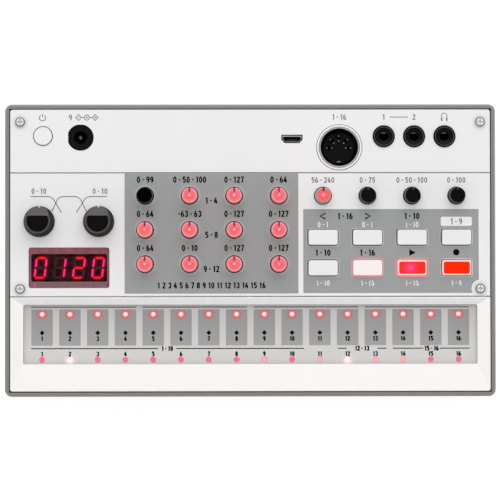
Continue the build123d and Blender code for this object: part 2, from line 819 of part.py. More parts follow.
# Potentiometer bodies, encoder body and the small lights under the clear knobs
small_bore = small_shaft_radius + running_clearance
with BuildPart() as potentiometer_bodies:
    for place in pot_places + isolator_places:
        plain_band(pot_side, pot_side, control_board_top, pot_top, *place)
    round_bands(pot_places, small_bore, control_board_top, pot_top, mode=Mode.SUBTRACT)
    round_bands(isolator_places, isolator_shaft_radius + running_clearance,
                control_board_top + pot_floor, pot_top, mode=Mode.SUBTRACT)
keep(potentiometer_bodies.part, "potentiometer_bodies")

with BuildPart() as encoder_body:
    plain_band(pot_side, pot_side, control_board_top, pot_top, *encoder_place)
    round_bands([encoder_place], small_bore, control_board_top, pot_top, mode=Mode.SUBTRACT)
keep(encoder_body.part, "encoder_body")

with BuildPart() as indicator_leds:
    for place in led_knob_places:
        plain_band(led_length, led_width, control_board_top, control_board_top + led_height, *place)
    for name in lit_buttons:
        light_x, light_y = button_places[name]
        plain_band(led_length, led_width, control_board_top, control_board_top + led_height,
                   light_x - light_offset, light_y)
keep(indicator_leds.part, "indicator_leds")


def small_knob(place, pointer):
    """A small knob moulded in one piece with its shaft."""
    shoulder = pot_top + seat_clearance
    knob_top = panel_top + small_knob_height
    with BuildPart() as knob:
        round_bands([place], small_knob_radius, shoulder, panel_top)
        with BuildSketch(level(panel_top, *place)):
            Circle(small_knob_radius)
        extrude(amount=small_knob_height, taper=small_knob_draft)
        fillet(knob.edges().group_by(Axis.Z)[-1], small_knob_round)
        round_bands([place], small_knob_dish_radius, knob_top - small_knob_dish_sink, knob_top,
                    mode=Mode.SUBTRACT)
        if pointer:
            plain_band(pointer_width, 2 * pointer_length, knob_top - pointer_sink, knob_top,
                       place[0], place[1] + small_knob_radius, mode=Mode.SUBTRACT)
        round_bands([place], small_shaft_radius, control_board_top + shaft_end_gap, shoulder)
    return knob.part


for name, place in small_knob_places.items():
    keep(small_knob(place, name != "sample_knob"), name)


def isolator_knob(place):
    """A tapered knob with a slanted facet and a pointer notch at its rear."""
    x, y = place
    bottom = panel_top + isolator_gap
    top = panel_top + isolator_height
    skirt_top = bottom + isolator_skirt
    with BuildPart() as knob:
        round_bands([place], isolator_base_radius, bottom, skirt_top)
        with BuildSketch(level(skirt_top, x, y)):
            Circle(isolator_base_radius)
        with BuildSketch(level(top, x, y)):
            Circle(isolator_top_radius)
        loft(ruled=True)
        round_bands([place], isolator_top_radius - isolator_rim, top - isolator_dish_sink, top,
                    mode=Mode.SUBTRACT)
        side_plane = Plane(origin=(x, y, 0.0), x_dir=(0, 1, 0), z_dir=(1, 0, 0))
        facet_low = panel_top + isolator_facet_end
        with BuildSketch(side_plane):
            with BuildLine():
                Polyline(
                    (isolator_facet_start, top),
                    (isolator_base_radius, facet_low),
                    (isolator_base_radius + overrun, facet_low),
                    (isolator_base_radius + overrun, top + overrun),
                    (isolator_facet_start, top + overrun),
                    close=True,
                )
            make_face()
        extrude(amount=isolator_base_radius, both=True, mode=Mode.SUBTRACT)
        with BuildSketch(level(bottom, x, y + isolator_base_radius)):
            with BuildLine():
                Polyline(
                    (-isolator_notch_width / 2, overrun),
                    (-isolator_notch_width / 2, 0.0),
                    (0.0, -isolator_notch_sink),
                    (isolator_notch_width / 2, 0.0),
                    (isolator_notch_width / 2, overrun),
                    close=True,
                )
            make_face()
        extrude(amount=isolator_height, mode=Mode.SUBTRACT)
        round_bands([place], isolator_shaft_radius + running_clearance, bottom,
                    bottom + isolator_shaft_grip, mode=Mode.SUBTRACT)
    return knob.part


def isolator_shaft(place):
    """A metal shaft with a flat at its upper end."""
    x, y = place
    grip_bottom = panel_top + isolator_gap
    shaft_top = grip_bottom + isolator_shaft_grip - seat_clearance
    flat_y = y - 2 * isolator_shaft_radius + isolator_shaft_flat
    with BuildPart() as shaft:
        round_bands([place], isolator_shaft_radius, control_board_top + pot_floor + seat_clearance,
                    shaft_top)
        plain_band(2 * isolator_shaft_radius, 2 * isolator_shaft_radius, grip_bottom, shaft_top,
                   x, flat_y, mode=Mode.SUBTRACT)
    return shaft.part


for name, place in zip(isolator_names, isolator_places):
    keep(isolator_knob(place), f"{name}_knob")
    keep(isolator_shaft(place), f"{name}_shaft")

# Push buttons and the switches under them
power_switch_top = jack_board_top + switch_height
well_radius = button_pin_radius + running_clearance
well_depth = button_pin_engage + button_travel + switch_well_spare
with BuildPart() as tact_switches:
    for place in button_places.values():
        plain_band(switch_side, switch_side, control_board_top, switch_top, *place)
    round_bands(button_places.values(), well_radius, switch_top - well_depth, switch_top,
                mode=Mode.SUBTRACT)
    plain_band(switch_side, switch_side, jack_board_top, power_switch_top, *power_place)
    round_bands([power_place], well_radius, power_switch_top - well_depth, power_switch_top,
                mode=Mode.SUBTRACT)
keep(tact_switches.part, "tact_switches")


def push_button(place, inlaid):
    """A rectangular button: cap, flange under the panel and a pin into its switch."""
    cap_top = panel_top + button_height
    with BuildPart() as button:
        rounded_band(button_width, button_depth, button_corner, flange_top, cap_top, *place)
        fillet(button.edges().group_by(Axis.Z)[-1], button_edge_round)
        if inlaid:
            rounded_band(button_width - 2 * inlay_margin, button_depth - 2 * inlay_margin,
                         button_corner, cap_top - inlay_sink, cap_top, *place,
                         mode=Mode.SUBTRACT)
        plain_band(button_hole_width + 2 * button_flange_lip,
                   button_hole_depth + 2 * button_flange_lip, flange_bottom, flange_top, *place)
        round_bands([place], button_pin_radius, switch_top - button_pin_engage, flange_bottom)
    return button.part


for name, place in button_places.items():
    keep(push_button(place, name in inlaid_buttons), name)

with BuildPart() as power_button:
    power_top = panel_top + power_height
    round_bands([power_place], power_radius, flange_top, power_top)
    fillet(power_button.edges().group_by(Axis.Z)[-1], button_edge_round)
    round_bands([power_place], power_radius + guide_clearance + button_flange_lip, flange_bottom,
                flange_top)
    round_bands([power_place], button_pin_radius, power_switch_top - button_pin_engage,
                flange_bottom)
keep(power_button.part, "power_button")

# Display: module, its bar segments and the tinted window
with BuildPart() as display_module:
    plain_band(module_width, module_depth, control_board_top, module_top, display_x, display_y)
keep(display_module.part, "display_module")


def segment_points(middle_x, middle_y, length, upright):
    """Corners of one slanted six-sided bar, about the digit's middle."""
    half = length / 2 - segment_gap
    thin = segment_thickness / 2
    flat = [(-half, 0.0), (thin - half, thin), (half - thin, thin),
            (half, 0.0), (half - thin, -thin), (thin - half, -thin)]
    points = [(b, a) for a, b in flat] if upright else flat
    placed = [(middle_x + a, middle_y + b) for a, b in points]
    return [(a + digit_slant_share * b, b) for a, b in placed]


bar_half_width = (digit_width - segment_thickness) / 2
bar_half_height = (digit_height - segment_thickness) / 2
digit_bars = [(0.0, i * bar_half_height, 2 * bar_half_width, False) for i in (-1, 0, 1)]
digit_bars += [
    (a * bar_half_width, b * bar_half_height / 2, bar_half_height, True)
    for a in (-1, 1)
    for b in (-1, 1)
]
with BuildPart() as display_segments:
    for digit_x in spread(digit_count, digit_pitch, display_x):
        with BuildSketch(level(module_top, digit_x, display_y)):
            for bar in digit_bars:
                with BuildLine():
                    Polyline(*segment_points(*bar), close=True)
                make_face()
        extrude(amount=segment_depth)
keep(display_segments.part, "display_segments")

with BuildPart() as display_window:
    rounded_band(window_width - 2 * seat_clearance, window_depth - 2 * seat_clearance,
                 window_corner, panel_top - window_thickness, panel_top, display_x, display_y)
keep(display_window.part, "display_window")


# Sockets on the rear board
def audio_jack(place):
    """A jack socket with a round nose, a dished mouth and a blind bore."""
    nose_top = panel_top + audio_nose_proud
    bore_top = nose_top - audio_dish_sink
    bore_bottom = jack_board_top + audio_bore_floor
    with BuildPart() as jack:
        plain_band(audio_jack_side, audio_jack_side, jack_board_top, socket_body_top, *place)
        round_bands([place], audio_nose_radius, socket_body_top, nose_top)
        fillet(jack.edges().group_by(Axis.Z)[-1], audio_nose_round)
        round_bands([place], audio_bore_radius, bore_bottom, bore_top, mode=Mode.SUBTRACT)
        with BuildSketch(level(bore_top, *place)):
            Circle(audio_bore_radius)
        with BuildSketch(level(nose_top, *place)):
            Circle(audio_dish_radius)
        loft(ruled=True, mode=Mode.SUBTRACT)
    return jack.part


for name, place in zip(audio_names, audio_places):
    keep(audio_jack(place), name)

midi_top = panel_top + midi_proud
midi_inner_radius = midi_shell_radius - midi_shell_wall
midi_face = midi_top - midi_face_sink
midi_groove = midi_face - midi_groove_sink
with BuildPart() as midi_shell:
    round_bands([midi_place], midi_shell_radius, jack_board_top, midi_top)
    round_bands([midi_place], midi_inner_radius, jack_board_top, midi_top, mode=Mode.SUBTRACT)
    fillet(midi_shell.edges().group_by(Axis.Z)[-1], midi_shell_round)
keep(midi_shell.part, "midi_shell")

with BuildPart() as midi_insert:
    round_bands([midi_place], midi_inner_radius - seat_clearance, jack_board_top, midi_groove)
    round_bands([midi_place], midi_face_radius, midi_groove, midi_face)
    with BuildSketch(level(midi_face - midi_pin_sink, *midi_place)):
        pin_step = half_turn / (midi_pin_count - 1)
        with PolarLocations(midi_pin_circle, midi_pin_count, angular_range=half_turn + pin_step):
            Circle(midi_pin_radius)
    extrude(amount=midi_pin_sink, mode=Mode.SUBTRACT)
    key_y = midi_place[1] - midi_face_radius
    plain_band(midi_key_width, 2 * midi_key_sink, midi_groove, midi_face, midi_place[0], key_y,
               mode=Mode.SUBTRACT)
keep(midi_insert.part, "midi_insert")

dc_face = panel_top - dc_face_sink
dc_bore_bottom = dc_face - dc_bore_depth
with BuildPart() as dc_jack:
    plain_band(dc_side, dc_side, jack_board_top, socket_body_top, *dc_place)
    with BuildSketch(level(socket_body_top, *dc_place)):
        dc_outline(0.0)
    extrude(amount=dc_face - socket_body_top)
    round_bands([dc_place], dc_bore_radius, dc_bore_bottom, dc_face, mode=Mode.SUBTRACT)
    chamfer(dc_jack.edges().group_by(Axis.Z)[-1].filter_by(GeomType.CIRCLE).sort_by(
        SortBy.RADIUS)[0], dc_mouth_bevel)
    round_bands([dc_place], dc_pin_radius + seat_clearance, dc_bore_bottom - dc_pin_root,
                dc_bore_bottom, mode=Mode.SUBTRACT)
keep(dc_jack.part, "dc_jack")

with BuildPart() as dc_centre_pin:
    round_bands([dc_place], dc_pin_radius, dc_bore_bottom - dc_pin_root, dc_face - dc_pin_tip_sink)
keep(dc_centre_pin.part, "dc_centre_pin")

usb_face = panel_top - usb_face_sink
usb_seat = usb_face - usb_height
with BuildPart() as usb_shell:
    with BuildSketch(level(usb_seat, *usb_place)):
        usb_outline(0.0)
    extrude(amount=usb_height)
    with BuildSketch(level(usb_seat, *usb_place)):
        usb_outline(-usb_wall)
    extrude(amount=usb_height, mode=Mode.SUBTRACT)
keep(usb_shell.part, "usb_shell")

with BuildPart() as usb_tongue:
    plain_band(usb_housing_width, usb_housing_depth, jack_board_top, usb_seat, *usb_place)
    plain_band(usb_tongue_width, usb_tongue_depth, usb_seat, usb_face - usb_tongue_sink, *usb_place)
keep(usb_tongue.part, "usb_tongue")
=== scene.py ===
import math

import bmesh
import bpy
from mathutils import Matrix, Vector


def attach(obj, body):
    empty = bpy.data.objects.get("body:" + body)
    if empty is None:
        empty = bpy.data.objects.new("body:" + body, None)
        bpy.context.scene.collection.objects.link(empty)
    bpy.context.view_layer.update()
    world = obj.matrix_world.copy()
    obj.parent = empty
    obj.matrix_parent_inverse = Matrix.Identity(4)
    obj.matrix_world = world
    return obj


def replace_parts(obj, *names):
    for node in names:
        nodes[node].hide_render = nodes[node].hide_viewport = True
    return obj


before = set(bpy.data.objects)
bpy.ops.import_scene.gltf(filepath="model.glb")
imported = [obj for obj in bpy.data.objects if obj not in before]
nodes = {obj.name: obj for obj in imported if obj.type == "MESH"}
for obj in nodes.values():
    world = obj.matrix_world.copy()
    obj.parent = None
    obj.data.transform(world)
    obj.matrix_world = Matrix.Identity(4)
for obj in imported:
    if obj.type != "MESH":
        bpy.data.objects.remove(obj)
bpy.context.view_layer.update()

MM = 0.001

# Levels above the table in millimetres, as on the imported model
PANEL = 29.3            # control panel
HOLE_LIP = PANEL - 0.2  # walls of the panel's holes and groove begin here
CAP = 30.8              # push buttons
STRIP = 27.3            # touch film
BARS = 27.1             # display
SHELL_MOUTH = 29.35     # round socket's shell takes painted shade on its inner wall below this
RIM = 25.0              # tub's rim, and the gap inside it, are above this
SCREW_SEAT = PANEL + 1.1
DC_TIP = 28.1

# Places in plan in millimetres
KEY_COUNT, KEY_PITCH = 16, 10.93
KEYS = [(i - (KEY_COUNT - 1) / 2) * KEY_PITCH for i in range(KEY_COUNT)]
STEP_Y, PART_Y, SLOPE_Y = -25.077, -42.95, -20.1
PAD_Y, PAD_W, PAD_H = -30.3, 8.45, 14.2
STRIP_FRONT, STRIP_DEPTH = -44.7, 23.4
COLUMNS = [-41.354, -23.854, -6.354, 11.146]
ROWS = [21.45, 8.0, -5.45]
MASTERS = [28.559, 46.059, 63.559, 81.059]
BUTTON_ROWS = [5.047, -6.953]
BUTTONS_LEFT, BUTTONS_REAR = 20.0, 12.0
JACKS = [(52.544, 44.796), (64.494, 44.796), (76.444, 44.796)]
MIDI, MIDI_MOUTH, PIN_CIRCLE = (35.041, 40.497), 7.3, 3.75
USB, USB_RIM = (16.407, 43.821), 0.6
DC = (-66.76, 44.398)
DISPLAY, DISPLAY_HALF = (-71.253, -6.803), (14.83, 5.46)
GROOVE_Y, GROOVE_HALF = 30.49, 0.35
RIM_INSIDE = (94.8, 55.8)
SCREWS = [(x, y) for x in (-90.4, 90.4) for y in (50.5, -15.077)]
SCREW_RADIUS, SCREW_RECESS = 2.0, 1.3
CLEAR_KNOBS = ["start", "length", "cutoff", "speed", "pitch_amount", "pitch_attack",
               "pitch_decay", "level", "pan", "amp_attack", "amp_decay"]

# How far shades and glows reach in millimetres
SCREW_SHADOW_REACH, SHINE_REACH, SLOPE_REFLECTION_REACH, PAD_GLOW, FILM_GLOW, PLAY_GLOW = 3.6, 6.0, 1.6, 2.7, 3.6, 4.2
STEP_LENS, PART_LENS = 0.85, 1.05
GLOW_FOOT, GLOW_RISE = PANEL - 0.6, 1.6

# Lower lights that are fully and half lit, counted from the left
BRIGHT, HALF = (1, 11), (8, 10, 12, 13)


# ---------------------------------------------------------------- node materials

def srgb(r, g, b):
    """Linear colour of an 8-bit screen colour."""
    def lin(v):
        v /= 255
        return v / 12.92 if v <= 0.04045 else ((v + 0.055) / 1.055) ** 2.4
    return (lin(r), lin(g), lin(b), 1.0)


def grey(level):
    """Even tone; as a multiplier it lightens above 1."""
    return (level, level, level, 1.0)


BLACK, WHITE = grey(0.0), grey(1.0)


def times(colour, k):
    return tuple(min(1.0, c * k) for c in colour[:3]) + (1.0,)


def feed(tree, socket, value):
    """Link a socket to another one, or set its value."""
    if isinstance(value, bpy.types.NodeSocket):
        tree.links.new(value, socket)
    elif value is not None:
        socket.default_value = value


def add_node(tree, kind, *inputs, **settings):
    made = tree.nodes.new(kind)
    for key, value in settings.items():
        setattr(made, key, value)
    for socket, value in zip(made.inputs, inputs):
        feed(tree, socket, value)
    return made


def add_ramp(tree, value, stops):
    made = add_node(tree, "ShaderNodeValToRGB", value)
    points = made.color_ramp.elements
    while len(points) < len(stops):
        points.new(0.5)
    for point, (at, colour) in zip(points, stops):
        point.position = at
        point.color = colour
    return made.outputs["Color"]


class Paint:
    """A node material and short ways to add nodes to it."""

    NOISE_LOW, NOISE_HIGH = 0.3, 0.7

    def __init__(self, name, rough=0.5, specular=0.5, metallic=0.0):
        self.mat = bpy.data.materials.new(name)
        self.mat.use_nodes = True
        self.tree = self.mat.node_tree
        self.shader = self.tree.nodes["Principled BSDF"]
        self.set("Roughness", rough)
        self.set("Specular IOR Level", specular)
        self.set("Metallic", metallic)
        self.coords = self.tree.nodes.new("ShaderNodeTexCoord").outputs

    def node(self, kind, *inputs, **settings):
        return add_node(self.tree, kind, *inputs, **settings).outputs[0]

    def set(self, name, value):
        feed(self.tree, self.shader.inputs[name], value)

    def math(self, operation, a, b=None):
        return self.node("ShaderNodeMath", a, b, operation=operation)

    def product(self, first, *rest):
        for value in rest:
            first = self.math("MULTIPLY", first, value)
        return first

    def vector(self, operation, a, b=None):
        return self.node("ShaderNodeVectorMath", a, b, operation=operation)

    def measure(self, operation, a, b=None):
        """Length of a vector, or distance between two."""
        made = add_node(self.tree, "ShaderNodeVectorMath", a, b, operation=operation)
        return made.outputs["Value"]

    def axes(self, vector):
        """The parts of a vector, by their letters."""
        return add_node(self.tree, "ShaderNodeSeparateXYZ", vector).outputs

    def facing(self, axis):
        """How far the surface looks along an axis."""
        return self.axes(self.coords["Normal"])[axis]

    def place(self, axis):
        """Place along an axis of the model in millimetres."""
        return self.math("MULTIPLY", self.axes(self.coords["Object"])[axis], 1.0 / MM)

    def noise(self, size, detail=3.0, stretch=None):
        """Noise with marks of about the given size in millimetres."""
        place = self.coords["Object"]
        if stretch:
            place = self.vector("MULTIPLY", place, stretch)
        made = add_node(self.tree, "ShaderNodeTexNoise", place)
        made.inputs["Scale"].default_value = 1.0 / (size * MM)
        made.inputs["Detail"].default_value = detail
        return made.outputs["Fac"]

    def spread(self, noise, low, high):
        """The middle part of a noise carried to low..high."""
        made = add_node(self.tree, "ShaderNodeMapRange", noise,
                        self.NOISE_LOW, self.NOISE_HIGH, low, high)
        return made.outputs["Result"]

    def ramp(self, value, stops):
        return add_ramp(self.tree, value, stops)

    def levels(self, value, *stops):
        """A ramp of even tones."""
        return self.ramp(value, [(at, grey(level)) for at, level in stops])

    def mix(self, factor, a, b, blend="MIX"):
        made = add_node(self.tree, "ShaderNodeMix", data_type="RGBA", blend_type=blend)
        for index, value in ((0, factor), (6, a), (7, b)):
            feed(self.tree, made.inputs[index], value)
        return made.outputs[2]

    def by(self, a, b):
        """One colour multiplied by another."""
        return self.mix(1.0, a, b, "MULTIPLY")

    def tone(self):
        """The colour so far."""
        return self.shader.inputs["Base Color"].links[0].from_socket

    def shade(self, colour):
        """Multiply the colour so far."""
        self.set("Base Color", self.by(self.tone(), colour))

    def cover(self, share, colour):
        """Lay another colour over a share of the colour so far."""
        self.set("Base Color", self.mix(share, self.tone(), colour))

    def glow(self, colour, strength=1.0):
        self.set("Emission Color", colour)
        self.set("Emission Strength", strength)

    def bump(self, height, depth):
        made = self.tree.nodes.new("ShaderNodeBump")
        made.inputs["Strength"].default_value = 1.0
        made.inputs["Distance"].default_value = depth * MM
        feed(self.tree, made.inputs["Height"], height)
        self.set("Normal", made.outputs["Normal"])


def from_point(p, x, y, where="Object", scale=1.0 / MM):
    """Distance from a place, measured in the plan."""
    flat = p.vector("MULTIPLY", p.coords[where], (scale, scale, 0.0))
    return p.measure("DISTANCE", flat, (x, y, 0.0))


def nearest(p, places):
    """Distance from the nearest of several places."""
    gaps = [from_point(p, x, y) for x, y in places]
    near = gaps[0]
    for gap in gaps[1:]:
        near = p.math("MINIMUM", near, gap)
    return near


def from_keys(p, y):
    """Distance from the nearest light in a row of sixteen."""
    cell = p.math("FRACT", p.math("DIVIDE", p.place("X"), KEY_PITCH))
    dx = p.math("MULTIPLY", p.math("SUBTRACT", cell, 0.5), KEY_PITCH)
    dy = p.math("SUBTRACT", p.place("Y"), y)
    return p.measure("LENGTH", p.node("ShaderNodeCombineXYZ", dx, dy, 0.0))


def from_axis(p):
    """Distance from a knob's axis as a share of its radius."""
    return p.math("MULTIPLY", from_point(p, 0.5, 0.5, "Generated", 1.0), 2.0)


def pointer_mask(p, start):
    """White along a knob's pointer slot, from a share of its radius to the rim."""
    place = p.axes(p.coords["Generated"])
    aside = p.math("ABSOLUTE", p.math("SUBTRACT", place["X"], 0.5))
    across = p.ramp(p.math("MULTIPLY", aside, 10.0), [(0.46, WHITE), (0.6, BLACK)])
    outward = p.ramp(place["Y"], [(0.5 + start / 2, BLACK), (0.53 + start / 2, WHITE)])
    return p.by(across, outward)


def rear_wall_shade(p, rear, front):
    """Painted shade that the strip's rear wall casts: a tone that changes from the strip's rear edge to its
    front one.
    """
    run = p.math("DIVIDE", p.math("SUBTRACT", p.place("Y"), STRIP_FRONT), STRIP_DEPTH)
    return p.levels(run, (0.0, front), (0.28, front), (0.95, rear), (0.985, min(1.0, rear * 1.15)))


# ---------------------------------------------------------------- kinds of surface

def moulded(name, colour, rough=0.5, grain=0.25, depth=0.006, speck=0.03, specular=0.5):
    """Moulded plastic: fine grain, faint flow marks and a roughness that wanders."""
    p = Paint(name, rough, specular)
    fine = p.noise(grain)
    wide = p.noise(22.0, 2.0)
    tone = p.mix(fine, times(colour, 1 - speck), times(colour, 1 + speck))
    p.set("Base Color", p.mix(p.spread(wide, 0.0, 0.25), tone, times(colour, 0.94)))
    p.set("Roughness", p.spread(fine, rough - 0.06, rough + 0.06))
    p.bump(fine, depth)
    return p


def metal(name, colour, rough, stretch, metallic=1.0):
    """Plated or turned metal with fine drawn lines; a satin plating is less of a mirror."""
    p = Paint(name, rough, 0.5, metallic)
    lines = p.noise(0.35, 4.0, stretch)
    cloud = p.noise(3.0, 2.0)
    p.set("Base Color", p.mix(p.spread(cloud, 0.0, 1.0), times(colour, 0.88), colour))
    p.set("Roughness", p.spread(lines, rough * 0.7, rough * 1.4))
    p.bump(lines, 0.001)
    return p


def ink(name, colour, rough=0.55, specular=0.35):
    """Screen-printed ink: a slight mottle and a dry edge to the gloss."""
    p = Paint(name, rough, specular)
    fine = p.noise(0.12, 4.0)
    wide = p.noise(9.0, 2.0)
    tone = p.mix(fine, times(colour, 0.96), times(colour, 1.04))
    p.set("Base Color", p.mix(p.spread(wide, 0.0, 0.3), tone, times(colour, 0.95)))
    p.set("Roughness", p.spread(fine, rough - 0.08, rough + 0.08))
    p.bump(fine, 0.002)
    return p


def plate_paint(name, colour, rough, grain, speck, specular):
    """Painted plate, with painted shade on its upright walls and cut edges and a painted shadow round its
    screws.
    """
    p = moulded(name, colour, rough, grain, 0.005, speck, specular)
    # Painted shadow in a ring round each screw head
    screw_shadow = p.math("DIVIDE", nearest(p, SCREWS), SCREW_SHADOW_REACH)
    p.shade(p.levels(screw_shadow, (0.567, 0.8), (0.667, 0.87), (0.833, 0.95), (1.0, 1.0)))
    # Painted shade on faces that stand up from the top: the walls of holes and the plate's edges
    p.shade(p.levels(p.facing("Z"), (0.2, 0.1), (0.5, 1.0)))
    return p


def lens_paint(name, y, core, rim, reach, strength=1.0):
    """A clear round light, paler in the middle."""
    p = Paint(name, 0.25, 0.4)
    p.set("Base Color", p.mix(p.noise(0.3), times(rim, 0.3), times(rim, 0.36)))
    off = p.math("DIVIDE", from_keys(p, y), reach)
    p.glow(p.ramp(off, [(0.0, core), (0.8, core), (1.0, rim)]), strength)
    p.bump(p.noise(0.2), 0.002)
    return p


def lit_plastic(name, colour, glow, strength, centre=None, spot=(), reach=1.0):
    """Plastic with a lamp behind it; a brighter spot where the lamp sits."""
    p = moulded(name, colour, 0.35, 0.4, 0.002, 0.02, 0.04)
    if centre:
        off = p.math("DIVIDE", from_point(p, *centre), reach)
        p.glow(p.ramp(off, list(spot) + [(1.0, glow)]), strength)
    else:
        p.glow(p.mix(p.noise(0.6), glow, times(glow, 0.92)), strength)
    return p


def lit_button(name, colour, low, glow):
    """White cap lit from behind, with a red glow low on its sides."""
    p = moulded(name, colour, 0.42, 0.4, 0.003, 0.01)
    rise = p.math("DIVIDE", p.math("SUBTRACT", p.place("Z"), GLOW_FOOT), GLOW_RISE)
    p.glow(p.ramp(rise, [(0.2, low), (0.7, low), (0.9, glow)]))
    return p


# ---------------------------------------------------------------- surfaces of single pieces

def case_paint():
    """Grey tub; its rim is toned by how it faces, with a painted highlight on the turned edge and painted
    shade on the flat top, and dark painted shade fills the gap round the panel.
    """
    p = moulded("case_grey", srgb(150, 145, 141), 0.5, 0.35, 0.01, 0.05)
    off = p.axes(p.vector("ABSOLUTE", p.coords["Object"]))
    inside = p.product(p.math("LESS_THAN", off["X"], RIM_INSIDE[0] * MM),
                       p.math("LESS_THAN", off["Y"], RIM_INSIDE[1] * MM))
    high = p.math("GREATER_THAN", off["Z"], RIM * MM)
    # Painted highlight and shade on the rim by how each face looks: lighter on the turned edge, darker on
    # the flat top
    rim = p.levels(p.facing("Z"), (0.3, 1.0), (0.55, 1.25), (0.9, 0.95), (0.98, 0.76))
    p.cover(high, p.by(p.tone(), rim))
    # Dark painted shade down the gap round the panel, inside the rim
    p.cover(p.product(inside, high, 0.96), srgb(16, 15, 15))
    return p


def panel_paint():
    """White panel with a shaded lip round the push buttons' holes and a shaded groove."""
    p = plate_paint("panel_white", srgb(238, 237, 237), 0.5, 0.3, 0.012, 0.4)
    low = p.math("LESS_THAN", p.place("Z"), HOLE_LIP)
    off = p.math("ABSOLUTE", p.math("SUBTRACT", p.place("Y"), GROOVE_Y))
    p.cover(p.product(p.math("LESS_THAN", off, GROOVE_HALF), low, 0.42), srgb(70, 68, 68))
    lip = p.product(p.math("GREATER_THAN", p.place("X"), BUTTONS_LEFT),
                    p.math("LESS_THAN", p.place("Y"), BUTTONS_REAR), low)
    left_wall = p.math("GREATER_THAN", p.facing("X"), 0.3)
    share = p.math("ADD", p.product(left_wall, 0.45), 0.35)
    p.cover(p.product(lip, share), srgb(40, 38, 38))
    return p


def bezel_paint():
    """White dished frame; its rear slope, which faces the front, takes painted shade and faint painted
    reflections of the strip's lights.
    """
    p = plate_paint("bezel_white", srgb(247, 246, 245), 0.38, 0.5, 0.008, 0.5)
    # Painted shade on faces that look towards the front
    p.shade(p.levels(p.product(p.facing("Y"), -1.0), (0.1, 1.0), (0.3, 0.92)))
    # Painted reflections of the strip's lights: faint glowing spots on the rear slope
    spot = p.math("DIVIDE", from_keys(p, SLOPE_Y), SLOPE_REFLECTION_REACH)
    p.glow(p.ramp(spot, [(0.0, srgb(70, 20, 14)), (1.0, BLACK)]))
    return p


def field_paint():
    """Grey print of the fields, paler where the lit knobs shine on it."""
    p = ink("print_grey", srgb(157, 158, 158))
    off = p.math("DIVIDE", nearest(p, [(x, y) for x in COLUMNS for y in ROWS]), SHINE_REACH)
    p.shade(p.levels(off, (0.6, 1.6), (0.65, 1.39), (0.7, 1.17), (0.8, 1.06), (0.88, 1.0)))
    return p


def pad_paint():
    """Grey printed pads that take a red glow round each light."""
    p = ink("pad_grey", srgb(152, 151, 151), 0.5)
    # Painted shade from the strip's rear wall, darker towards the rear
    p.shade(rear_wall_shade(p, 0.92, 1.2))
    off = p.math("DIVIDE", from_keys(p, STEP_Y), PAD_GLOW)
    near = p.levels(off, (0.36, 1.0), (0.45, 0.8), (0.58, 0.4), (0.75, 0.12), (1.0, 0.0))
    p.cover(near, srgb(170, 34, 40))
    p.glow(p.ramp(off, [(0.33, srgb(255, 205, 205)), (0.38, srgb(255, 92, 96)), (0.43, srgb(225, 44, 50)),
                        (0.53, srgb(120, 26, 28)), (0.66, srgb(58, 12, 12)), (0.9, BLACK)]))
    return p


def film_paint():
    """Satin film; two of the lower lights throw a strong glow on it."""
    p = moulded("strip_film", srgb(207, 205, 204), 0.45, 0.3, 0.003, 0.012, 0.4)
    # Painted shade from the strip's rear wall, darker towards the rear
    p.shade(rear_wall_shade(p, 0.84, 1.07))
    off = p.math("DIVIDE", nearest(p, [(KEYS[i], PART_Y - 0.4) for i in BRIGHT]), FILM_GLOW)
    p.glow(p.ramp(off, [(0.25, srgb(255, 170, 170)), (0.45, srgb(140, 76, 76)), (0.7, srgb(60, 28, 28)),
                        (1.0, BLACK)]), 0.65)
    return p


def screw_paint():
    """Bright panel screws toned in rings from the middle: a bluish painted glint in the recess, and painted
    shade as a dark ring round the turned-down edge of the head.
    """
    p = metal("screw_bright", srgb(240, 246, 246), 0.3, (1.0, 1.0, 6.0), 0.2)
    near = nearest(p, SCREWS)
    # Painted glint, bluish, in the middle and painted shade as a dark ring on the turned-down edge
    rings = p.ramp(p.math("DIVIDE", near, SCREW_RADIUS), [
        (0.0, srgb(176, 210, 213)), (0.24, srgb(210, 232, 234)), (0.34, srgb(253, 254, 254)),
        (0.68, srgb(253, 254, 254)), (0.77, srgb(74, 76, 76)), (0.87, srgb(92, 94, 94)),
        (1.0, srgb(226, 226, 226))])
    sunk = p.product(p.math("LESS_THAN", p.place("Z"), SCREW_SEAT),
                     p.math("LESS_THAN", near, SCREW_RECESS))
    tone = p.mix(sunk, rings, srgb(214, 227, 229))
    p.set("Base Color", p.mix(p.noise(0.5), tone, p.by(tone, grey(0.9))))
    return p


def shell_paint():
    """Round socket's shell: painted bands of highlight and shade round its mouth, and dark painted shade on
    its inner wall.
    """
    p = metal("shell_metal", srgb(190, 188, 186), 0.34, (1.0, 1.0, 0.08), 0.4)
    # Painted bands of highlight and shade round the mouth
    rings = p.ramp(p.math("SUBTRACT", from_point(p, *MIDI), MIDI_MOUTH), [
        (0.1, srgb(120, 118, 116)), (0.2, srgb(205, 203, 201)), (0.35, srgb(196, 194, 192)),
        (0.5, srgb(140, 138, 136)), (0.65, srgb(150, 148, 146)), (0.75, srgb(220, 219, 218))])
    p.cover(0.8, rings)
    # Dark painted shade on the inner wall, below the mouth
    p.cover(p.math("LESS_THAN", p.place("Z"), SHELL_MOUTH), srgb(22, 21, 21))
    return p


def usb_paint():
    """Drawn shell with painted light and shade: its rear rim is left bright, painted shade lies over the
    rest and dark painted shade on its walls.
    """
    p = metal("usb_metal", srgb(200, 198, 196), 0.4, (1.0, 1.0, 0.08), 0.15)
    # Painted shade over the shell in front of its rear rim
    front = p.math("LESS_THAN", p.place("Y"), USB[1] + USB_RIM)
    p.cover(p.product(front, 0.7), srgb(60, 58, 57))
    # Dark painted shade on the walls
    wall = p.math("LESS_THAN", p.facing("Z"), 0.5)
    p.cover(p.product(wall, 0.9), srgb(22, 21, 21))
    return p


